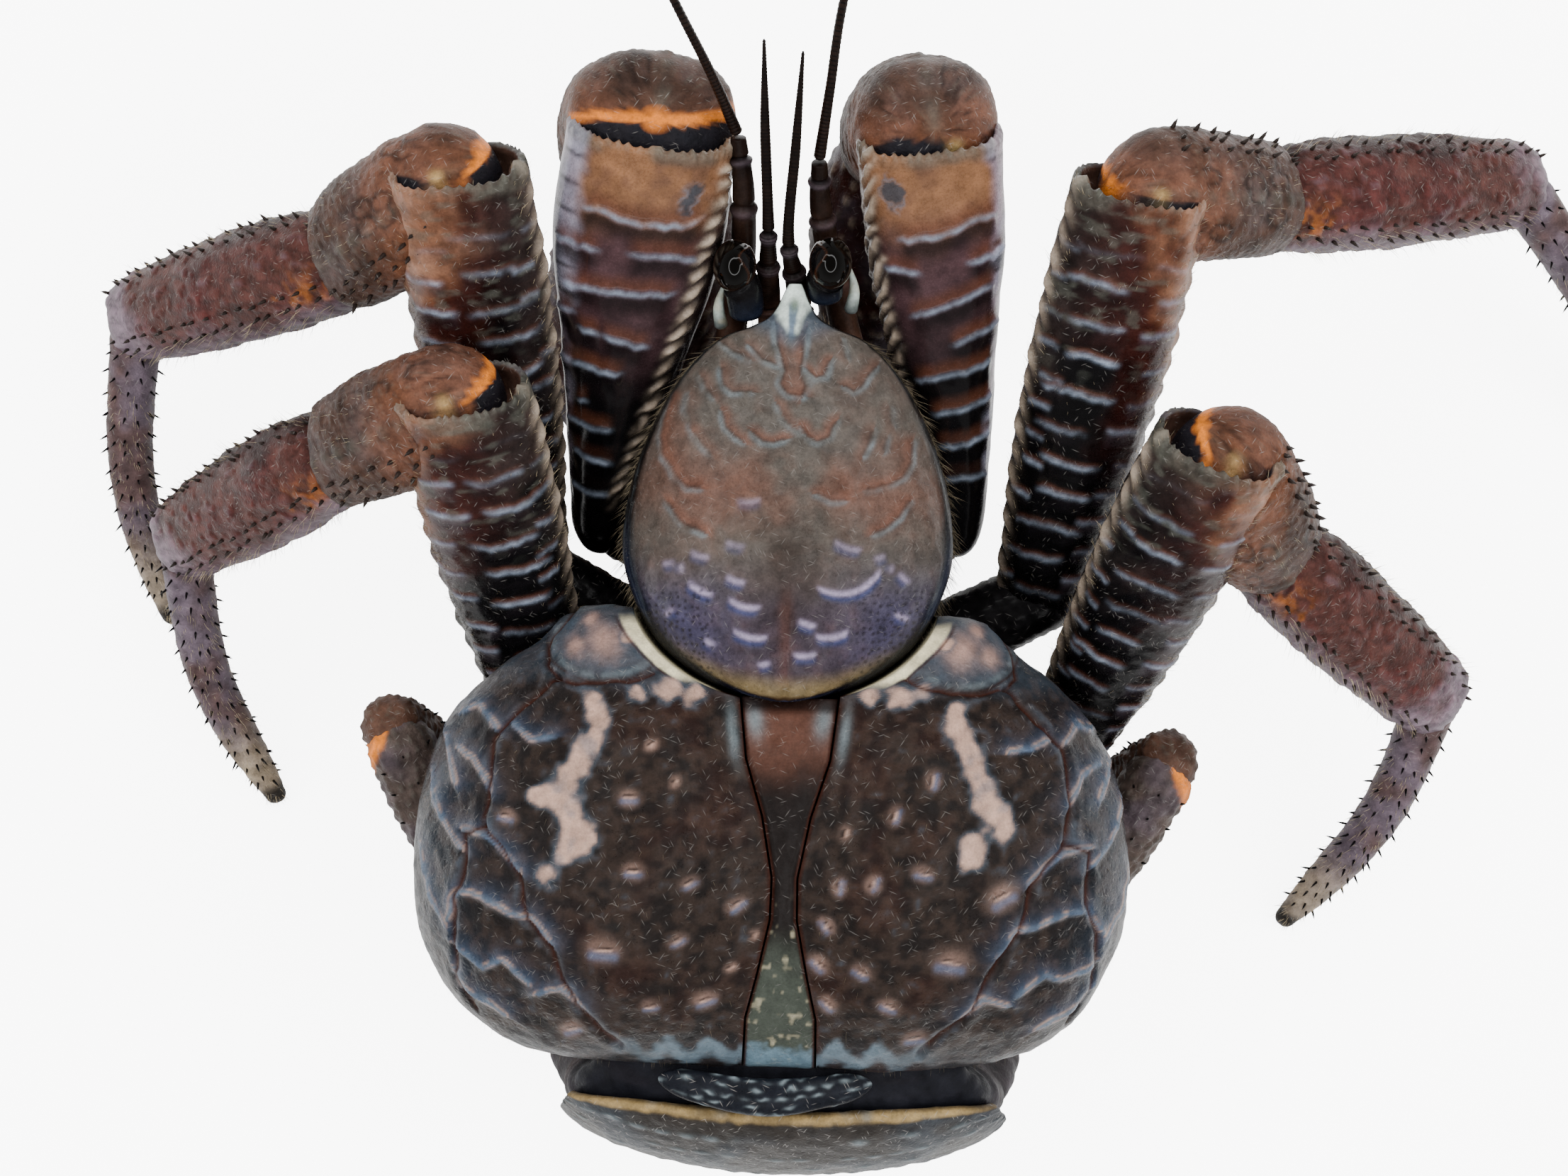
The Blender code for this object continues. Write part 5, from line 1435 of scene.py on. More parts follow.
# Rope-like line of tubercles over the top of a claw's thigh, towards its inner side.
CLAW_ROPES = {
    "left": ((-9.6, 96), (-11, 88), (-16.2, 71.9), (-22, 57.5), (-28, 43)),
    "right": ((9.6, 96), (10.9, 84), (15.9, 65.7), (20.5, 50), (24.5, 40)),
}


def dress_claw_merus(skin, side, limb):
    """Thigh of a claw leg: tan end, wavy ridges with painted shadow behind each, a rope of tubercles, an
    inner face painted near black as shade, lavender outside.
    """
    soft, fine, upper = limb.soft, limb.fine, limb.upper
    place = limb.s
    sign = SIDES[side]
    fore = ramp(place + 4 * soft, 24, 52)
    starts = 50.5 if side == "left" else 49
    tan = ramp(place + 2.2 * soft, starts, starts + 9)
    warm = lay(hue("tan"), "leg_brown", 0.6 * ramp(soft + 0.5 * fine, -0.2, 0.9))
    away, which = from_line(limb.grid[..., 0], limb.grid[..., 1], CLAW_ROPES[side])
    signed = away * which * -sign
    # The inner face, beyond the rope of tubercles: painted near black as shade, and left without ridges.
    inside = ramp(signed, 0.4, 1.6)
    outer = ramp(limb.share + 0.1 * soft, 0.44, 0.62)
    pale = lay(hue("leg_lilac") * 2.6, "ridge_line", 0.5 * ramp(soft, -0.3, 0.8), 1.6)
    brick = beat((place + 1.5 * limb.share) / 4.2, 0.11)
    tint = coats(
        hue("leg_black") * 1.6,
        (lay(hue("leg_maroon") * 1.3, "leg_lilac", 0.26), fore),
        (warm, 0.92 * tan),
        # Painted shade over the inner face.
        ("leg_black", 0.9 * inside * (1 - 0.5 * tan), 1.3),
        (pale, 0.85 * outer * ramp(place, 4, 16)),
        ("gill_dark", 0.75 * brick * outer * ramp(soft + fine, -0.6, 0.3)),
    )
    tint = dapple(tint, 0.16 * fine)
    height, pale, rust, dark = claw_rows(limb, CLAW_RIDGES[side])
    seen = 1 - inside
    height = height * size("ridge") * upper * seen + 0.15 * soft
    kidney = np.hypot((place - 59) / 2.6, (limb.w + 0.42 * limb.quarter + 0.25 * (place - 59)) / 1.7)
    kidney = kidney + 0.55 * fine + 0.3 * soft
    turn = (limb.grid[..., 1] * sign + 0.9 * signed) / 2.5 + 0.5 * soft
    strand = signed + 0.35 * fine
    bead = beat(turn, 0.3) * bell(strand, 0.2, 0.75)
    bead = bead * upper * ramp(place, 5, 12) * (0.7 + 0.5 * scatter(np.round(turn), seed=8))
    rope = bell(signed, 0.2, 1.2) * upper
    height += size("knob") * 0.9 * bead
    under = ramp(upper, 0.5, 0)
    tint = coats(
        tint,
        # Painted shadow behind each ridge.
        ("leg_black", 0.75 * dark * seen, 1.2),
        ("ridge_rust", 0.65 * rust * seen * ramp(place, 8, 24)),
        ("ridge_line", 0.85 * pale * seen * (0.7 + 0.4 * fine), 0.85),
        ("gill_blue", 0.85 * ramp(kidney, 1.05, 0.7), 0.45),
        ("ridge_line", 0.6 * bell(kidney, 1.05, 0.16) * ramp(fine, -0.6, 0.3), 0.5),
        ("leg_black", 0.8 * rope * ramp(place, 62, 56)),
        ("tubercle", 0.9 * np.clip(bead * 1.3, 0, 1), 1.1),
        ("leg_lilac", 0.6 * under, 0.7),
    )
    tint, rise, push = rim_marks(limb, tint, wide=1.3)
    limb.raise_by((height + rise) * limb.hold, push)
    skin.add(limb.grid, tint, 0.2 + 0.1 * upper * tan + 0.05 * soft)


def leg_chain(name):
    """Joints and directions of a walking leg, worked back and forth from its knee."""
    knee, merus_way, carpus_way, propodus_way, dactyl_azimuth = LEG_POSES[name]
    merus_long, carpus_long, propodus_long, dactyl_long = SEGMENT_LENGTHS[name.split("_")[0]]
    ways = [heading(*way) for way in (merus_way, carpus_way, propodus_way)]
    knee = np.array(knee)
    hip = knee - ways[0] * merus_long
    wrist = knee + ways[1] * carpus_long
    ankle = wrist + ways[2] * propodus_long
    fall = math.degrees(math.asin((TOE_HEIGHT - ankle[2]) / dactyl_long))
    ways.append(heading(dactyl_azimuth, fall))
    return hip, knee, wrist, ankle, ankle + ways[3] * dactyl_long, ways


def scaled(tables, bulk):
    return [np.array(table) * bulk for table in tables]


def simple_limb(skin, spine, tables, caps):
    """The base of a leg, dark and clouded, with low grains."""
    limb = Limb(spine, *tables, 60, 48, caps=caps)
    dots, _ = studs(limb.s, limb.w, 1.8, seed=81)
    tint = lay(hue("leg_black") * 1.5, "leg_black", 0.4 * ramp(limb.soft, 0, 0.9))
    limb.raise_by((0.2 * ramp(dots, 0.8, 0.2) + 0.1 * limb.soft) * limb.hold)
    skin.add(limb.grid, dapple(tint, 0.25 * limb.fine), 0.4)


def dress_palm(skin, limb):
    """Palm or finger: purple-brown with large worn knobs, turning tan towards the tips."""
    share = limb.s / limb.length
    dots, number = studs(limb.s, limb.w, 2.6, seed=95)
    grain = ramp(dots, 1.1, 0.3) * ramp(number, 0.2, 0.5)
    tint = coats(
        hue("leg_maroon") * 1.2,
        ("leg_lilac", ramp(limb.soft, -0.3, 0.8), 0.6),
        ("tan", 0.8 * ramp(share + 0.08 * limb.soft, 0.62, 0.95)),
        ("tubercle", 0.55 * ramp(dots, 0.8, 0.2) * ramp(number, 0.2, 0.5)),
    )
    tint = dapple(tint, 0.25 * limb.fine)
    limb.raise_by((0.5 * grain * ramp(share, 0.95, 0.7) + 0.2 * limb.soft) * limb.hold)
    limb.grid[..., 2] = np.maximum(limb.grid[..., 2], 0)
    skin.add(limb.grid, tint, 0.4)


# ---- abdomen and underside


def abdomen_grid(t, angle, grow):
    """Points of the curled bag: t runs along it, the angle in degrees round it from its outer line."""
    spine = np.asarray(ABDOMEN_SPINE, float)
    middle = smooth(spine, t)
    tangent = unit(smooth(spine, np.minimum(t + 0.01, 1)) - smooth(spine, np.maximum(t - 0.01, 0)))
    outer = np.cross((1, 0, 0), tangent)
    facing = np.sum(outer * (middle - np.array((2, -20, 30))), axis=-1, keepdims=True)
    outer = np.where(facing > 0, outer, -outer)
    turn = np.radians(angle)
    half_width = smooth(ABDOMEN_WIDTH, t) / 2 + grow
    half_depth = smooth(ABDOMEN_DEPTH, t) / 2 + grow
    across = stack(half_width * np.sin(turn), 0 * turn, 0 * turn)
    return middle + across + outer * (half_depth * np.cos(turn))[..., None]


def dress_abdomen(skin):
    """Soft bag, creased across, flat where it lies on the floor and over the tail plate."""
    middle, long, _, thick = TAIL_PLATE
    t, angle = np.meshgrid(np.linspace(0, 1, 150), np.linspace(0, 360, 180, endpoint=False), indexing="ij")
    grid = abdomen_grid(t, angle, 0)
    soft = cloud(grid, 8, seed=101)
    fine = cloud(grid, 1.6, seed=102, layers=2)
    crease = cloud(stack(grid[..., 0] * 0.15, t * 60, t * 0), 1.6, seed=103, layers=2)
    normal = normals_of(grid)
    grid = grid + normal * (0.5 * soft + 0.35 * crease + 0.08 * fine - 0.5)[..., None]
    lying = np.where(grid[..., 1] < middle - long / 2 - 10, 0, thick + 0.3)
    grid[..., 2] = np.maximum(grid[..., 2], lying)
    tint = coats(
        hue("bag"),
        ("leg_lilac", 0.4 * ramp(soft, 0, 0.9)),
        ("suture", 0.4 * ramp(crease, 0.4, 1)),
        ("joint_dark", 0.85 * ramp(t, 0.24, 0.16)),
    )
    tint = dapple(tint, 0.2 * fine)
    skin.add(grid, tint, 0.55 + 0.1 * fine)


def dress_back_plate(skin, name):
    """One curved back plate over the bag, with fine pale dashes across and a cream front edge."""
    first, last, wrap = BACK_PLATES[name]
    angle, share = np.meshgrid(np.linspace(-wrap, wrap, 230), np.linspace(0, 1, 80), indexing="ij")
    edge = np.minimum(np.minimum(share, 1 - share) / 0.06, 1)
    tips = np.minimum((wrap - np.abs(angle)) / 4, 1)
    narrow = 1 - 0.55 * (np.abs(angle) / wrap) ** 4
    t = first + (last - first) * (0.5 + (share - 0.5) * narrow)
    outer = abdomen_grid(t, angle, 0)
    soft = cloud(outer, 7, seed=111)
    fine = cloud(outer, 1.4, seed=112, layers=2)
    rounding = dome(edge) * dome(tips)
    row = share * 5 + 0.25 * soft
    place = outer[..., 0] / 3.4 + 0.37 * np.round(row)
    lit = beat(row, 0.11) * beat(place, 0.3)
    lit = lit * ramp(scatter(np.round(row), np.round(place), seed=6), 0.25, 0.55)
    outer = abdomen_grid(t, angle, 0.5 + PLATE_LIFT * 0.75 * rounding + 0.25 * soft + 0.08 * fine + 0.2 * lit)
    tint = coats(
        hue("plate") * 0.9,
        ("gill_blue", 0.4 * ramp(soft, 0, 0.9), 0.6),
        ("gill_dark", 0.5 * ramp(-soft + 0.5 * fine, 0.2, 1)),
        ("scallop_line", 0.7 * lit),
    )
    tint = dapple(tint, 0.2 * fine)
    front = ramp(share + 0.015 * fine, 0.07, 0.03) * ramp(share, -0.01, 0.01)
    tint = lay(tint, "cream", 0.8 * front * ramp(soft, -0.8, 0.2), (0.55, 0.42, 0.26))
    right = ramp(angle, wrap - 22, wrap - 8)
    tint = lay(tint, "stalk", 0.6 * right, 0.8)
    inner = abdomen_grid(t[:, ::-4], angle[:, ::-4], 0.4)
    grid = np.concatenate([outer, inner], axis=1)
    skin.add(grid, np.concatenate([tint, np.broadcast_to(hue("bag"), inner.shape)], axis=1), 0.42)


def dress_first_plate(skin):
    """First back plate: a bar across the body, with rows of short pale dashes."""
    limb = Limb(FIRST_PLATE, (3.8, 5.4, 3.8), (1.8, 2.4, 1.8), 210, 80, caps=(5, 5))
    row = limb.w / 1.25 + 0.3 * limb.fine
    place = limb.s / 2.6 + 0.61 * np.round(row)
    some = ramp(scatter(np.round(row), np.round(place), seed=9), 0.35, 0.6)
    lit = some * beat(row, 0.2) * beat(place, 0.26)
    limb.raise_by((0.1 * lit + 0.1 * limb.soft) * ramp(limb.shrink, 0.5, 0.9) * limb.upper)
    skin.add(limb.grid, lay(hue("joint_dark"), "scallop_line", 0.85 * lit, 1.2), 0.35)


def dress_tail_plate(skin):
    """Tail plate: an oval disc that lies on the floor."""
    middle, long, wide, thick = TAIL_PLATE
    rise = np.linspace(0, 1, 24)[:, None]
    grow = np.sqrt(np.clip(1 - (2 * rise - 1) ** 6, 0, 1)) * 0.98
    turn = 2 * np.pi * np.arange(120) / 120
    grid = stack(wide / 2 * grow * np.cos(turn), middle + long / 2 * grow * np.sin(turn), thick * rise)
    skin.add(grid, dapple(hue("plate"), 0.2 * cloud(grid, 3, seed=131)), 0.45)


def dress_breast(skin):
    """Breastplate: boxy sections from rear to front, with a groove across between each pair of legs."""
    rear, front, half, bottom = BREAST
    y = np.linspace(rear, front, 90)[:, None]
    heights = np.array(BREAST_TOPS)
    top = np.interp(y, heights[:, 0], heights[:, 1])
    middle = (top + bottom) / 2
    across, up = superellipse(ring_angles(70, 0), 4)
    end = dome(np.minimum(y - rear, front - y) / 2.5) * 0.4 + 0.6
    x = half * across * (0.9 + 0.1 * end)
    z = middle + (top - bottom) / 2 * up * end
    grooves = sum(bell(y, place, 0.9) for place in (0, 13.8, 29))
    z = z + np.where(up < 0, 1.2 * grooves + 0.8 * bell(x, 0, 1.2), 0)
    grid = stack(x, y, z)
    soft = cloud(grid, 5, seed=121)
    tint = lay(hue("leg_lilac"), "leg_brown", ramp(soft, -0.4, 0.6))
    tint = lay(tint, "joint_dark", 0.7 * np.clip(grooves * (up < 0), 0, 1))
    skin.add(grid, tint, 0.45)


def dress_mouth(skin):
    """Mouth frame: a broad sloping block with a groove down its middle."""
    limb = Limb(MOUTH_SPINE, (20, 20, 15), (9, 11, 8), 50, 70, caps=(2, 4), square=2.6)
    tint = lay(hue("leg_lilac"), "leg_brown", ramp(limb.soft, -0.4, 0.6))
    groove = bell(limb.grid[..., 0], 0, 1) * (1 - limb.upper)
    limb.raise_by(0.2 * limb.soft - 1.2 * groove)
    skin.add(limb.grid, lay(tint, "joint_dark", 0.7 * groove), 0.45)


def dress_mouth_leg(skin, side):
    """Mouth leg: a tapering rod with three dark joints."""
    wide = (7.5, 8, 6.5, 3.5)
    limb = Limb(FEELER_POINTS[side], wide, wide, 120, 60, up=(1, 0, 0), caps=(2, 2))
    joints = sum(bell(limb.s / limb.length, place, 0.02) for place in (0.36, 0.62, 0.8))
    limb.raise_by(0.15 * limb.soft - 0.7 * joints)
    tint = lay(hue("leg_brown"), "leg_lilac", ramp(limb.soft, -0.3, 0.7))
    skin.add(limb.grid, lay(tint, "joint_dark", 0.8 * joints), 0.45)
    return limb


# ---- head


def dress_eye(skin, side):
    """Cornea: an ellipsoid with its poles fore and aft; the stalk's tongue covers its inner side.

    The tongue's edge is an S: it bulges outwards in front of the middle and draws back inwards behind it.
    """
    centre = np.array(EYE_CENTRES[side])
    turn = np.linspace(0.03, np.pi - 0.03, 64)[:, None]
    round_ = 2 * np.pi * np.arange(80) / 80
    ball = stack(np.sin(turn) * np.cos(round_), -np.cos(turn) + 0 * round_, np.sin(turn) * np.sin(round_))
    local = ball * np.array(EYE_RADII)
    out = local[..., 0] * SIDES[side]
    ahead = local[..., 1]
    curve = -1.35 + 0.75 * np.sin(np.clip(ahead + 0.2, -2.2, 2.6) * 1.05) - 0.9 * ramp(ahead, 0.6, 3)
    tongue = ramp(curve - out, -0.06, 0.12)
    brim = bell(curve - out, 0, 0.13)
    tint = coats(
        hue("eye"),
        ("leg_black", tongue),
        ("leg_brown", 0.5 * ramp(np.hypot(out / 3.05, ahead / 3.8), 0.86, 0.97), 0.4),
        ("leg_orange", 0.5 * brim, 0.3),
    )
    local = local * (1 + 0.02 * tongue + 0.012 * brim)[..., None]
    skin.add(centre + local, tint, 0.04 + 0.22 * tongue + 0.1 * brim)


def dress_stalk(skin, side):
    """Eyestalk: a tapering navy-blue post under the eye."""
    centre, base = np.array(EYE_CENTRES[side]), np.array(STALK_BASES[side])
    inward = -1.5 * SIDES[side]
    spine = (base, (centre + base) / 2 + (inward * 0.3, 0, 0.3), centre + (inward * 0.2, -1.6, -0.6))
    limb = Limb(spine, (4.9, 5.3, 5.7), (4.9, 5.3, 5.7), 60, 64, caps=(1, 2))
    share = limb.s / limb.length
    tint = lay(hue("stalk") * 1.3, "leg_black", ramp(share, 0.1, 0.6), 1.3)
    tint = lay(tint, "joint_dark", 0.5 * ramp(limb.soft, 0, 0.8))
    limb.raise_by(0.04 * limb.fine)
    skin.add(limb.grid, tint, 0.3)
    outward = SIDES[side]
    root = base + (outward * 3.6, -1.6, -1.6)
    thorn = Limb((root, root + (outward * 0.5, 3.2, 1.5), root + (outward * -0.2, 6.4, 2.4)), (2.1, 1.5, 0.3),
                 (2, 1.5, 0.3), 40, 32, caps=(0.8, 0.3), square=2)
    tint = lay(hue("beak") * 0.8, "stalk", 0.8 * ramp(thorn.s / thorn.length, 0.5, 0.1))
    tint = lay(tint, "cream", 0.5 * ramp(thorn.soft + thorn.fine, 0.2, 1), 0.5)
    skin.add(thorn.grid, tint, 0.4)


def dress_feeler(skin, spine, width, joints, colour, rings, rows, columns):
    """Feeler: a tapering rod, waisted at its joints, and ringed where 'rings' gives a spacing."""
    limb = Limb(spine, width, width, rows, columns, square=2, caps=(0.6, 0.4), crowd=0)
    s = limb.s
    height = np.zeros(limb.w.shape)
    tint = np.broadcast_to(colour, (*limb.w.shape, 3))
    for share in joints:
        place = share * limb.length
        height += 0.35 * bell(s, place - 0.9, 0.7) - 0.35 * bell(s, place, 0.35)
        tint = lay(tint, "leg_black", 0.8 * bell(s, place, 0.4))
        tint = lay(tint, "leg_lilac", 0.35 * bell(s, place - 1, 0.6))
    if rings:
        wave = s / rings
        wave = np.abs(wave - np.round(wave)) * 2
        height += 0.06 * ramp(wave, 1, 0.3) - 0.03
        tint = lay(tint, "leg_black", 0.85 * ramp(wave, 0.55, 0.85), 0.5)
    if joints:
        brown = dapple(hue("leg_brown"), 0.5 * limb.soft)
        tint = lay(tint, brown, 0.8 * ramp(s, joints[-1] * limb.length, 0))
    limb.raise_by(height)
    skin.add(limb.grid, dapple(tint, 0.25 * limb.fine), 0.35)


# ---- bristles


def plant(skin, grid, normal, along, count, long, seed, rows=(0, 1), columns=(0, 1), lean=1.2,
          wide=0.08, bright=1, sag=0.15, tile=(0, 1)):
    """Scattered thin bristles on a grid, leaning along it and bending down; roots, ways and lengths vary.

    'long' is in bristle lengths. Each root's place on the bake map is its row and column in the grid;
    'tile' is the number of the map's strip and how many there are.
    """
    count_rows, count_columns = grid.shape[:2]
    number = np.arange(count)
    chance = [scatter(number, number * 0 + seed, seed=seed + step) for step in range(6)]
    row = ((rows[0] + (rows[1] - rows[0]) * chance[0]) * (count_rows - 1)).astype(int)
    column = ((columns[0] + (columns[1] - columns[0]) * chance[1])
              * count_columns).astype(int) % count_columns
    roots = grid[row, column]
    ways = normal[row, column] + lean * along[row, column] + 0.9 * (stack(*chance[2:5]) - 0.5)
    tall = size("hair") * long * (0.5 + chance[5])
    keep = roots[:, 2] > 1 + 0.5 * tall
    colour = hue("hair") * bright * (0.6 + 0.7 * chance[3][keep, None])
    uv = stack((tile[0] + column[keep] / count_columns) / tile[1], row[keep] / count_rows)
    skin.add_spikes(roots[keep], ways[keep], tall[keep], wide, colour, 0.5, bend=(0, 0, -sag),
                    uv=0.01 + 0.98 * uv)


def plant_limb(skin, limb, count, long, seed, **where):
    along = np.broadcast_to(limb.tangent[:, None], limb.grid.shape)
    plant(skin, limb.grid, limb.normal, along, count, long, seed, **where)


def dress_small_limb(skin, spine, width, colour, part, outward, rows=60, columns=64, caps=(3, 3),
                     up=(0, 0, 1)):
    """Segment of a fourth leg: dark and granular; the thigh's end has an orange corner."""
    limb = Limb(spine, width, width, rows, columns, up=up, caps=caps, outer=outward)
    share = limb.s / limb.length
    dots, _ = studs(limb.s, limb.w, 1.7, seed=81)
    tint = lay(colour, "leg_black", 0.5 * ramp(limb.soft, 0, 0.9))
    tint = lay(tint, "rim", 0.3 * ramp(dots, 0.5, 0.1))
    if part == "merus":
        tint = lay(tint, "leg_lilac", 0.5 * ramp(share, 0.6, 0.85) * ramp(limb.soft, -0.3, 0.5), 0.8)
        corner = ramp(share + 0.1 * limb.share, 0.985, 1.01) * ramp(limb.share, -0.6, 0.2)
        tint = lay(tint, "joint_orange", 0.9 * corner)
    tint = dapple(tint, 0.25 * limb.fine)
    limb.raise_by((0.35 * ramp(dots, 0.8, 0.2) + 0.25 * limb.soft) * limb.hold)
    skin.add(limb.grid, tint, 0.42)
    return limb


# ---- operators


class CRAB_OT_shield(Operator):
    """Makes the shield with its beak, scallops and dashes."""

    bl_idname = "crab.shield"
    bl_label = "Shield"

    def execute(self, context):
        grid, normal = make("shield", "shield shell", "body_shell", dress_shield)
        hairs = Skin()
        back = np.broadcast_to((0, -1, -0.3), grid.shape)
        for number, columns in enumerate(((-0.14, -0.05), (0.55, 0.64))):
            plant(hairs, grid, normal, back, 600, 1.2, 210 + number, rows=(0.2, 0.85), columns=columns,
                  wide=0.1, bright=0.35, sag=0.3)
        hairs.build("shield_hairs", "bristle", "bristle")
        return {"FINISHED"}


class CRAB_OT_gill_covers(Operator):
    """Makes the two gill covers and the hourglass plate between them."""

    bl_idname = "crab.gill_covers"
    bl_label = "Gill covers"

    def execute(self, context):
        for side in SIDES:
            name = "gill_cover_" + side
            grid, normal = make(name, "gill shell", "body_shell", dress_cover, side)
            hairs = Skin()
            back = np.broadcast_to((0, -1, 0), grid.shape)
            plant(hairs, grid, normal, back, 220, 0.4, 220, rows=(0.05, 0.97), columns=(0.02, 0.7),
                  wide=0.045, bright=0.4)
            plant(hairs, grid, normal, back, 200, 0.8, 230, rows=(0.1, 0.95), columns=(0.6, 0.85), wide=0.06,
                  bright=0.4)
            hairs.build(name + "_hairs", "bristle", "bristle")
        make("heart_plate", "gill shell", "body_shell", dress_heart_plate)
        return {"FINISHED"}


class CRAB_OT_walking_legs(Operator):
    """Makes the second and third legs, each segment a piece of its own."""

    bl_idname = "crab.walking_legs"
    bl_label = "Walking legs"

    def execute(self, context):
        for number, name in enumerate(LEGS):
            pair, side = name.split("_")
            outward, bulk = SIDES[side], PAIR_BULK[pair]
            hip, knee, wrist, ankle, toe, (merus, carpus, propodus, dactyl) = leg_chain(name)
            hairs = Skin()

            coxa = np.array(COXA[pair]) * (outward, 1, 1)
            way = unit(hip - coxa)
            make(name + "_base", "leg shell", "leg_shell", simple_limb, (coxa - way, hip + way * 5), BASE,
                 (0, 4))

            limb = Limb((hip - merus * 5, knee + merus * RIM_REACH), *scaled(MERUS, bulk), 210, 120,
                        square=2.4, rim=True, outer=outward)
            make(name + "_merus", "leg shell", "leg_shell", dress_leg_merus, name, limb)
            for columns in ((-0.07, 0.04), (0.46, 0.57)):
                plant_limb(hairs, limb, 150, 0.6, 160 + number, rows=(0.05, 0.97), columns=columns,
                           tile=(0, 4))
            plant_limb(hairs, limb, 160, 0.4, 170 + number, rows=(0.1, 0.97), wide=0.05, tile=(0, 4))

            back, drop = CARPUS_START
            limb = Limb((knee - carpus * back + merus - (0, 0, drop), wrist + carpus * 3),
                        *scaled(CARPUS, bulk), 90, 100, caps=(7, 4), bow=1.5, outer=-outward)
            fields = knee_fields(limb.grid, knee, merus, SOCKET * MERUS[0][-1] * bulk, -outward)
            skin = Skin()
            dress_carpus(skin, limb, fields, *KNEE_BANDS[name], 71 + number)
            spines_on(skin, limb, 3, 3, 0.2, 0.9, size("spine"), 80 + number, hue("carpus") * 0.35,
                      around=(0.38, 0.54), wide=0.7)
            skin.build(name + "_carpus", "shin shell", "leg_shell")
            plant_limb(hairs, limb, 140, 0.35, 180 + number, rows=(0.35, 0.95), wide=0.05, tile=(1, 4))

            limb = Limb((wrist - propodus * 4, ankle + propodus * 4), *scaled(PROPODUS, bulk), 130, 90,
                        caps=(4, 5), bow=1, outer=-outward)
            skin = Skin()
            dress_propodus(skin, limb, 90 + number)
            for around in ((0, 0.12), (0.38, 0.5)):
                spines_on(skin, limb, 3.2, 2, 0.04, 0.96, size("spine") * 0.9, 30 + number,
                          hue("carpus") * 0.35, around=around, wide=0.6)
            skin.build(name + "_propodus", "shin shell", "leg_shell")
            plant_limb(hairs, limb, 520, 1, 190 + number, rows=(0.05, 0.97), columns=(0.45, 1.05), sag=0.35,
                       tile=(2, 4))

            bent = (ankle + toe) / 2 + (outward * DACTYL_BEND, 0, 0)
            limb = Limb((ankle - dactyl * 2, bent, toe), *scaled(DACTYL, 1), 110, 44, caps=(4, 1.5), bow=2.5)
            make(name + "_dactyl", "shin shell", "leg_shell", dress_dactyl, limb, 50 + number)
            plant_limb(hairs, limb, 420, 0.5, 200 + number, rows=(0.2, 0.97), tile=(3, 4))
            hairs.build(name + "_hairs", "bristle", "bristle")
        return {"FINISHED"}


class CRAB_OT_claws(Operator):
    """Makes the two claw legs."""

    bl_idname = "crab.claws"
    bl_label = "Claws"

    def execute(self, context):
        for side, outward in SIDES.items():
            name = f"claw_{side}_"
            shoulder, elbow, wrist, root, tip = map(np.array, CLAW_POINTS[side])
            coxa = np.array(COXA["claw"]) * (outward, 1, 1)
            base, merus = unit(shoulder - coxa), unit(elbow - shoulder)
            carpus, palm = unit(wrist - elbow), unit(root - wrist)
            make(name + "base", "claw shell", "claw_shell", simple_limb, (coxa - base, shoulder + base * 2),
                 scaled(BASE, 0.8), (0, 6))

            limb = Limb((shoulder - merus * 5, elbow + merus * RIM_REACH), *CLAW_MERUS[side], 270, 150,
                        caps=(7, 3), square=2.5, rim=True, outer=outward)
            limb.s = limb.s - 5
            limb.length -= 5
            make(name + "merus", "claw shell", "claw_shell", dress_claw_merus, side, limb)

            limb = Limb((elbow - carpus * 6 + merus * 2, wrist + carpus * 6), *CLAW_CARPUS[side], 110, 130,
                        up=(0, 1, 0), caps=(7, 5), bow=1, outer=outward)
            fields = knee_fields(limb.grid, elbow, merus, SOCKET * CLAW_MERUS[side][0][-1], -outward)
            make(name + "carpus", "shin shell", "claw_shell", dress_carpus, limb, fields,
                 *KNEE_BANDS["claw_" + side], 76)

            inward = np.array((-outward, 0, 0))
            spread = FINGER_SPREAD[side]
            fixed = (wrist - palm * 5, (wrist + root) / 2, root - inward * spread,
                     (root + tip) / 2 - inward * (spread + 1), tip - inward * (spread * 0.45))
            moving = (root - palm * 4 + inward * (spread + 0.6), (root + tip) / 2 + inward * (spread + 1.2),
                      tip + inward * (spread * 0.5))
            for part, spine, tables, first in (("palm", fixed, CLAW_PALM[side], 5),
                                               ("finger", moving, CLAW_FINGER[side], 4)):
                limb = Limb(spine, *tables, 130, 90, caps=(first, 2), outer=outward)
                make(name + part, "shin shell", "claw_shell", dress_palm, limb)
        return {"FINISHED"}


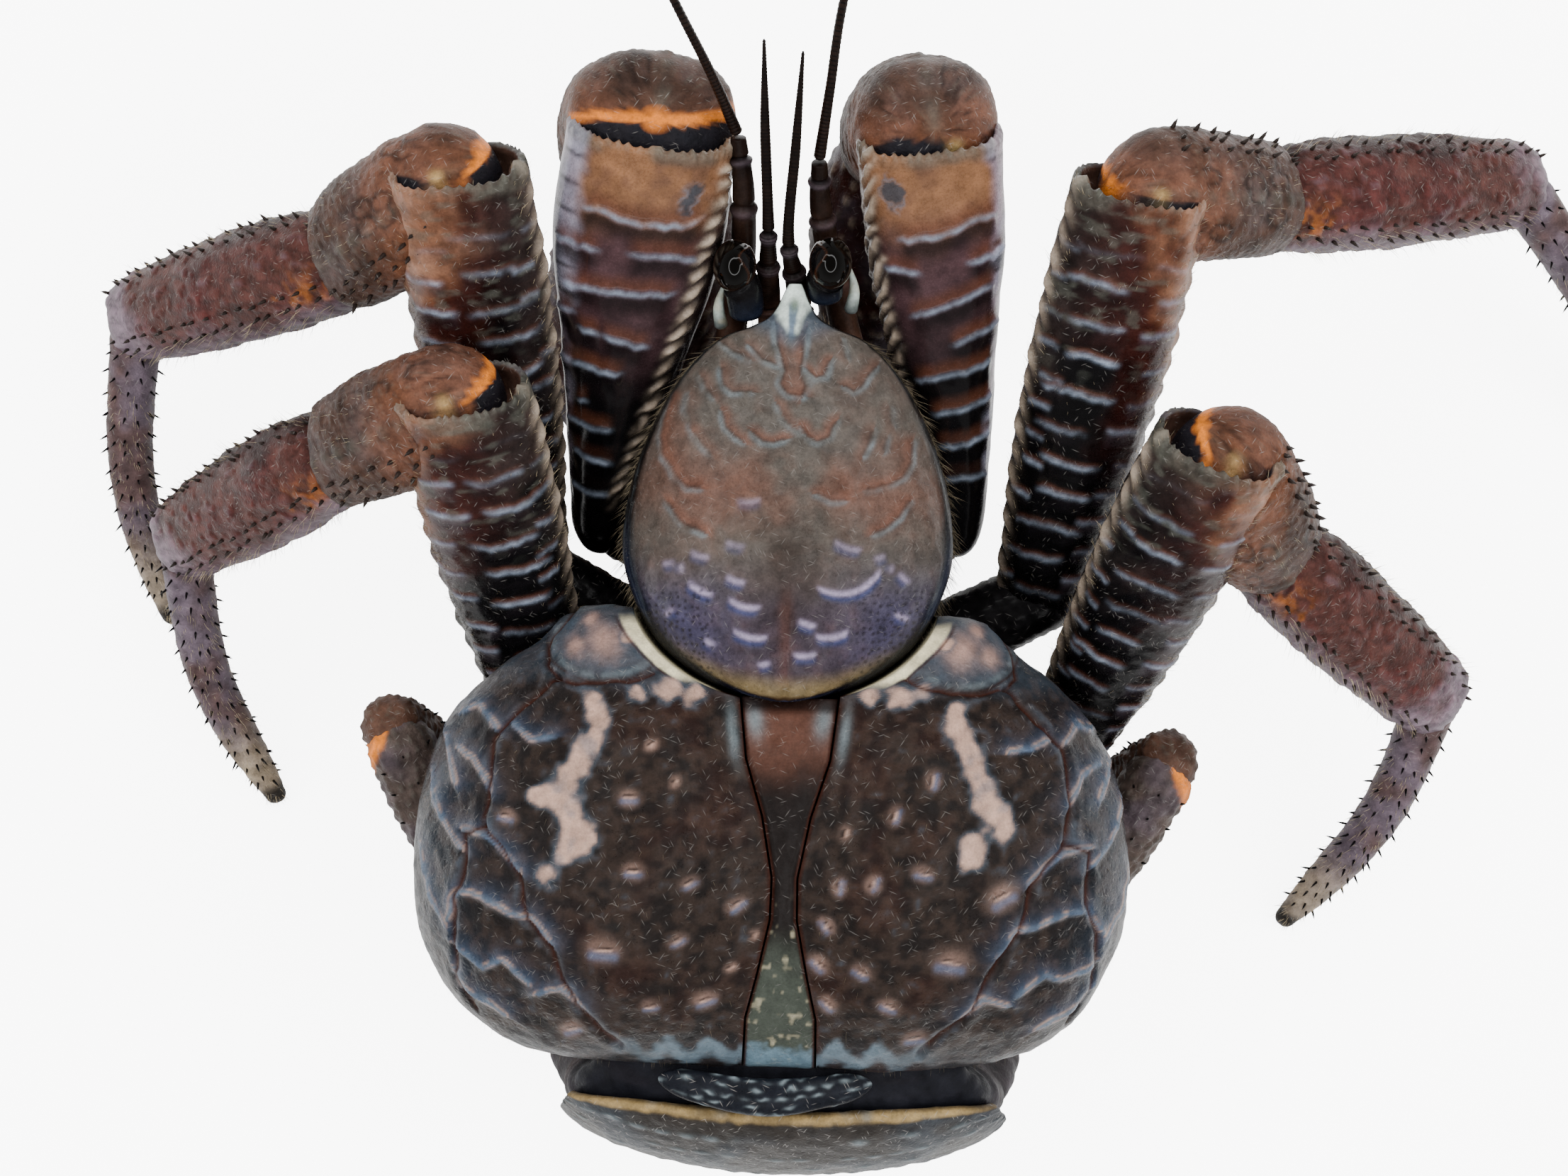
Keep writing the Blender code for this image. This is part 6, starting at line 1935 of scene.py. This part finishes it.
class CRAB_OT_fourth_legs(Operator):
    """Makes the small fourth legs with their folded hands."""

    bl_idname = "crab.fourth_legs"
    bl_label = "Fourth legs"

    def execute(self, context):
        for side, outward in SIDES.items():
            mirror = np.array((outward, 1, 1))
            knee = np.array(LEG4_POINTS[side][-1])
            wrist = knee + np.array(LEG4_WRIST_OFFSET) * mirror
            tip = wrist + np.array(LEG4_HAND_OFFSET) * mirror
            carpus, hand = unit(wrist - knee), unit(tip - wrist)
            thigh, shank = hue("carpus") * 0.9, hue("leg_brown") * 1.2
            for part, spine, width, colour, first, shape in (
                ("merus", LEG4_POINTS[side], (10, 10, 10, 10.5, 10), thigh, 0.75,
                 {"caps": (2, 4), "rows": 130, "columns": 72}),
                ("carpus", (knee - carpus * 2, wrist + carpus * 3), (8, 9, 9, 8.5, 7.5), shank, 0.2,
                 {"up": (0, 1, 0)}),
                ("hand", (wrist - hand * 3, tip), (7, 9, 9, 7, 4.5), shank, 0.2, {}),
            ):
                skin = Skin()
                limb = dress_small_limb(skin, spine, width, colour, part, outward, **shape)
                spines_on(skin, limb, 3, 5, first, 0.95, 0.9, 70, hue("leg_black"))
                skin.build(f"leg4_{side}_{part}", "shin shell", "leg_shell")
        return {"FINISHED"}


class CRAB_OT_abdomen(Operator):
    """Makes the soft bag, its back plates and the tail plate."""

    bl_idname = "crab.abdomen"
    bl_label = "Abdomen"

    def execute(self, context):
        make("abdomen", "bag skin", "soft_skin", dress_abdomen)
        for name in BACK_PLATES:
            make(name, "back plate shell", "body_shell", dress_back_plate, name)
        make("tergite_1", "back plate shell", "body_shell", dress_first_plate)
        make("tail_plate", "back plate shell", "body_shell", dress_tail_plate)
        return {"FINISHED"}


class CRAB_OT_underside(Operator):
    """Makes the breastplate, the mouth frame and the mouth legs."""

    bl_idname = "crab.underside"
    bl_label = "Underside"

    def execute(self, context):
        make("breastplate", "breast shell", "body_shell", dress_breast)
        make("mouth_frame", "breast shell", "body_shell", dress_mouth)
        for number, side in enumerate(SIDES):
            name = "mouth_leg_" + side
            limb = make(name, "breast shell", "feeler_shell", dress_mouth_leg, side)
            make(name + "_hairs", "bristle", "bristle", plant_limb, limb, 420, 1.2, 140 + number,
                 rows=(0.5, 1))
        return {"FINISHED"}


class CRAB_OT_head(Operator):
    """Makes the eyes, their stalks and all the feelers."""

    bl_idname = "crab.head"
    bl_label = "Head"

    def execute(self, context):
        for side in SIDES:
            make("eye_" + side, "cornea", "eye_surface", dress_eye, side)
            make("eyestalk_" + side, "stalk shell", "body_shell", dress_stalk, side)
            for part, spines, width, joints, bright, rings, rows, columns in FEELERS:
                make(f"{part}_{side}", "feeler shell", "feeler_shell", dress_feeler, spines[side], width,
                     joints, hue("feeler") * bright, rings, rows, columns)
        return {"FINISHED"}


def put(name, data, **settings):
    """Adds an object of the stage."""
    thing = bpy.data.objects.new(name, data)
    for key, value in settings.items():
        setattr(thing, key, value)
    bpy.context.scene.collection.objects.link(thing)
    return thing


def put_sheet(name, corners, faces, colour, glow, rough=0.5, **settings):
    """Adds a flat mesh of the stage with paint that gives white light of its own."""
    material = bpy.data.materials.new(name + " paint")
    nodes = Nodes(material)
    nodes.set(nodes.tree.nodes["Principled BSDF"], in_Base_Color=(*colour, 1), in_Roughness=rough,
              in_Emission_Color=(1, 1, 1, 1), in_Emission_Strength=glow)
    data = bpy.data.meshes.new(name)
    data.from_pydata(corners, [], faces)
    data.materials.append(material)
    return put(name, data, **settings)


class CRAB_OT_stage(Operator):
    """Makes the floor, the lamps and the camera straight above."""

    bl_idname = "crab.stage"
    bl_label = "Stage"

    def execute(self, context):
        corners = [(FLOOR_HALF * x, FLOOR_HALF * y, 0) for x, y in ((-1, -1), (1, -1), (1, 1), (-1, 1))]
        floor = put_sheet("floor", corners, [(0, 1, 2, 3)], hue("floor"), FLOOR_GLOW, 0.8)
        # The floor's own light falls on the floor only, so that it is bright without greying the shell.
        lit = bpy.data.collections.new("lit by the floor")
        lit.objects.link(floor)
        floor.light_linking.receiver_collection = lit

        for name, place, wide, power in LAMPS:
            lamp = bpy.data.lights.new(name, "AREA")
            lamp.shape = "SQUARE"
            lamp.size = wide
            lamp.energy = power
            aim = mathutils.Vector(LAMP_AIM) - mathutils.Vector(place)
            put(name, lamp, location=place,
                            rotation_euler=aim.to_track_quat("-Z", "Y").to_euler(), visible_glossy=False)

        radius, wide, high, glow = RING_LAMP
        sides = 96
        number = np.arange(sides)
        turn = 2 * np.pi * number / sides
        circle = stack(np.cos(turn), np.sin(turn), 0)
        corners = np.concatenate([circle * (radius - wide / 2), circle * (radius + wide / 2)])
        corners += (CAMERA_PLACE[0], CAMERA_PLACE[1], high)
        after = (number + 1) % sides
        faces = stack(number, after, after + sides, number + sides).tolist()
        put_sheet("ring lamp", corners, faces, (0, 0, 0), glow, visible_camera=False)

        world = context.scene.world or bpy.data.worlds.new("studio")
        context.scene.world = world
        nodes = Nodes(world)
        rise = nodes.add("SeparateXYZ", "Z", in_0=nodes.add("TexCoord", "Generated"))
        nodes.set(nodes.tree.nodes["Background"], in_Color=(1, 1, 1, 1),
                  in_Strength=nodes.span(rise, 0.95, 0.35, *WORLD_LIGHT))

        view = bpy.data.cameras.new("above")
        view.lens = LENS
        view.sensor_width = 36
        view.clip_start = 0.01
        context.scene.camera = put("above", view, location=CAMERA_PLACE,
                                   rotation_euler=(0, 0, math.radians(CAMERA_TURN)))
        return {"FINISHED"}


class CRAB_PT_looks(Panel):
    """Lists the pieces of the crab and what can be changed."""

    bl_label = "Coconut crab"
    bl_idname = "CRAB_PT_looks"
    bl_space_type = "VIEW_3D"
    bl_region_type = "UI"
    bl_category = "Crab"

    def draw(self, context):
        for operator in OPERATORS:
            self.layout.operator(operator.bl_idname)
        for group in (context.scene.crab_sizes, context.scene.crab_colours):
            column = self.layout.column(align=True)
            for name in group.__annotations__:
                column.prop(group, name)


OPERATORS = (CRAB_OT_shield, CRAB_OT_gill_covers, CRAB_OT_claws, CRAB_OT_walking_legs, CRAB_OT_fourth_legs,
             CRAB_OT_abdomen, CRAB_OT_underside, CRAB_OT_head, CRAB_OT_stage)


def register():
    for kind in (CrabColours, CrabSizes, *OPERATORS, CRAB_PT_looks):
        bpy.utils.register_class(kind)
    bpy.types.Scene.crab_colours = PointerProperty(type=CrabColours)
    bpy.types.Scene.crab_sizes = PointerProperty(type=CrabSizes)


def unregister():
    del bpy.types.Scene.crab_colours
    del bpy.types.Scene.crab_sizes
    for kind in (CRAB_PT_looks, *reversed(OPERATORS), CrabSizes, CrabColours):
        bpy.utils.unregister_class(kind)


def main():
    register()
    for operator in OPERATORS:
        group, name = operator.bl_idname.split(".")
        getattr(getattr(bpy.ops, group), name)()


if __name__ == "__main__":
    main()
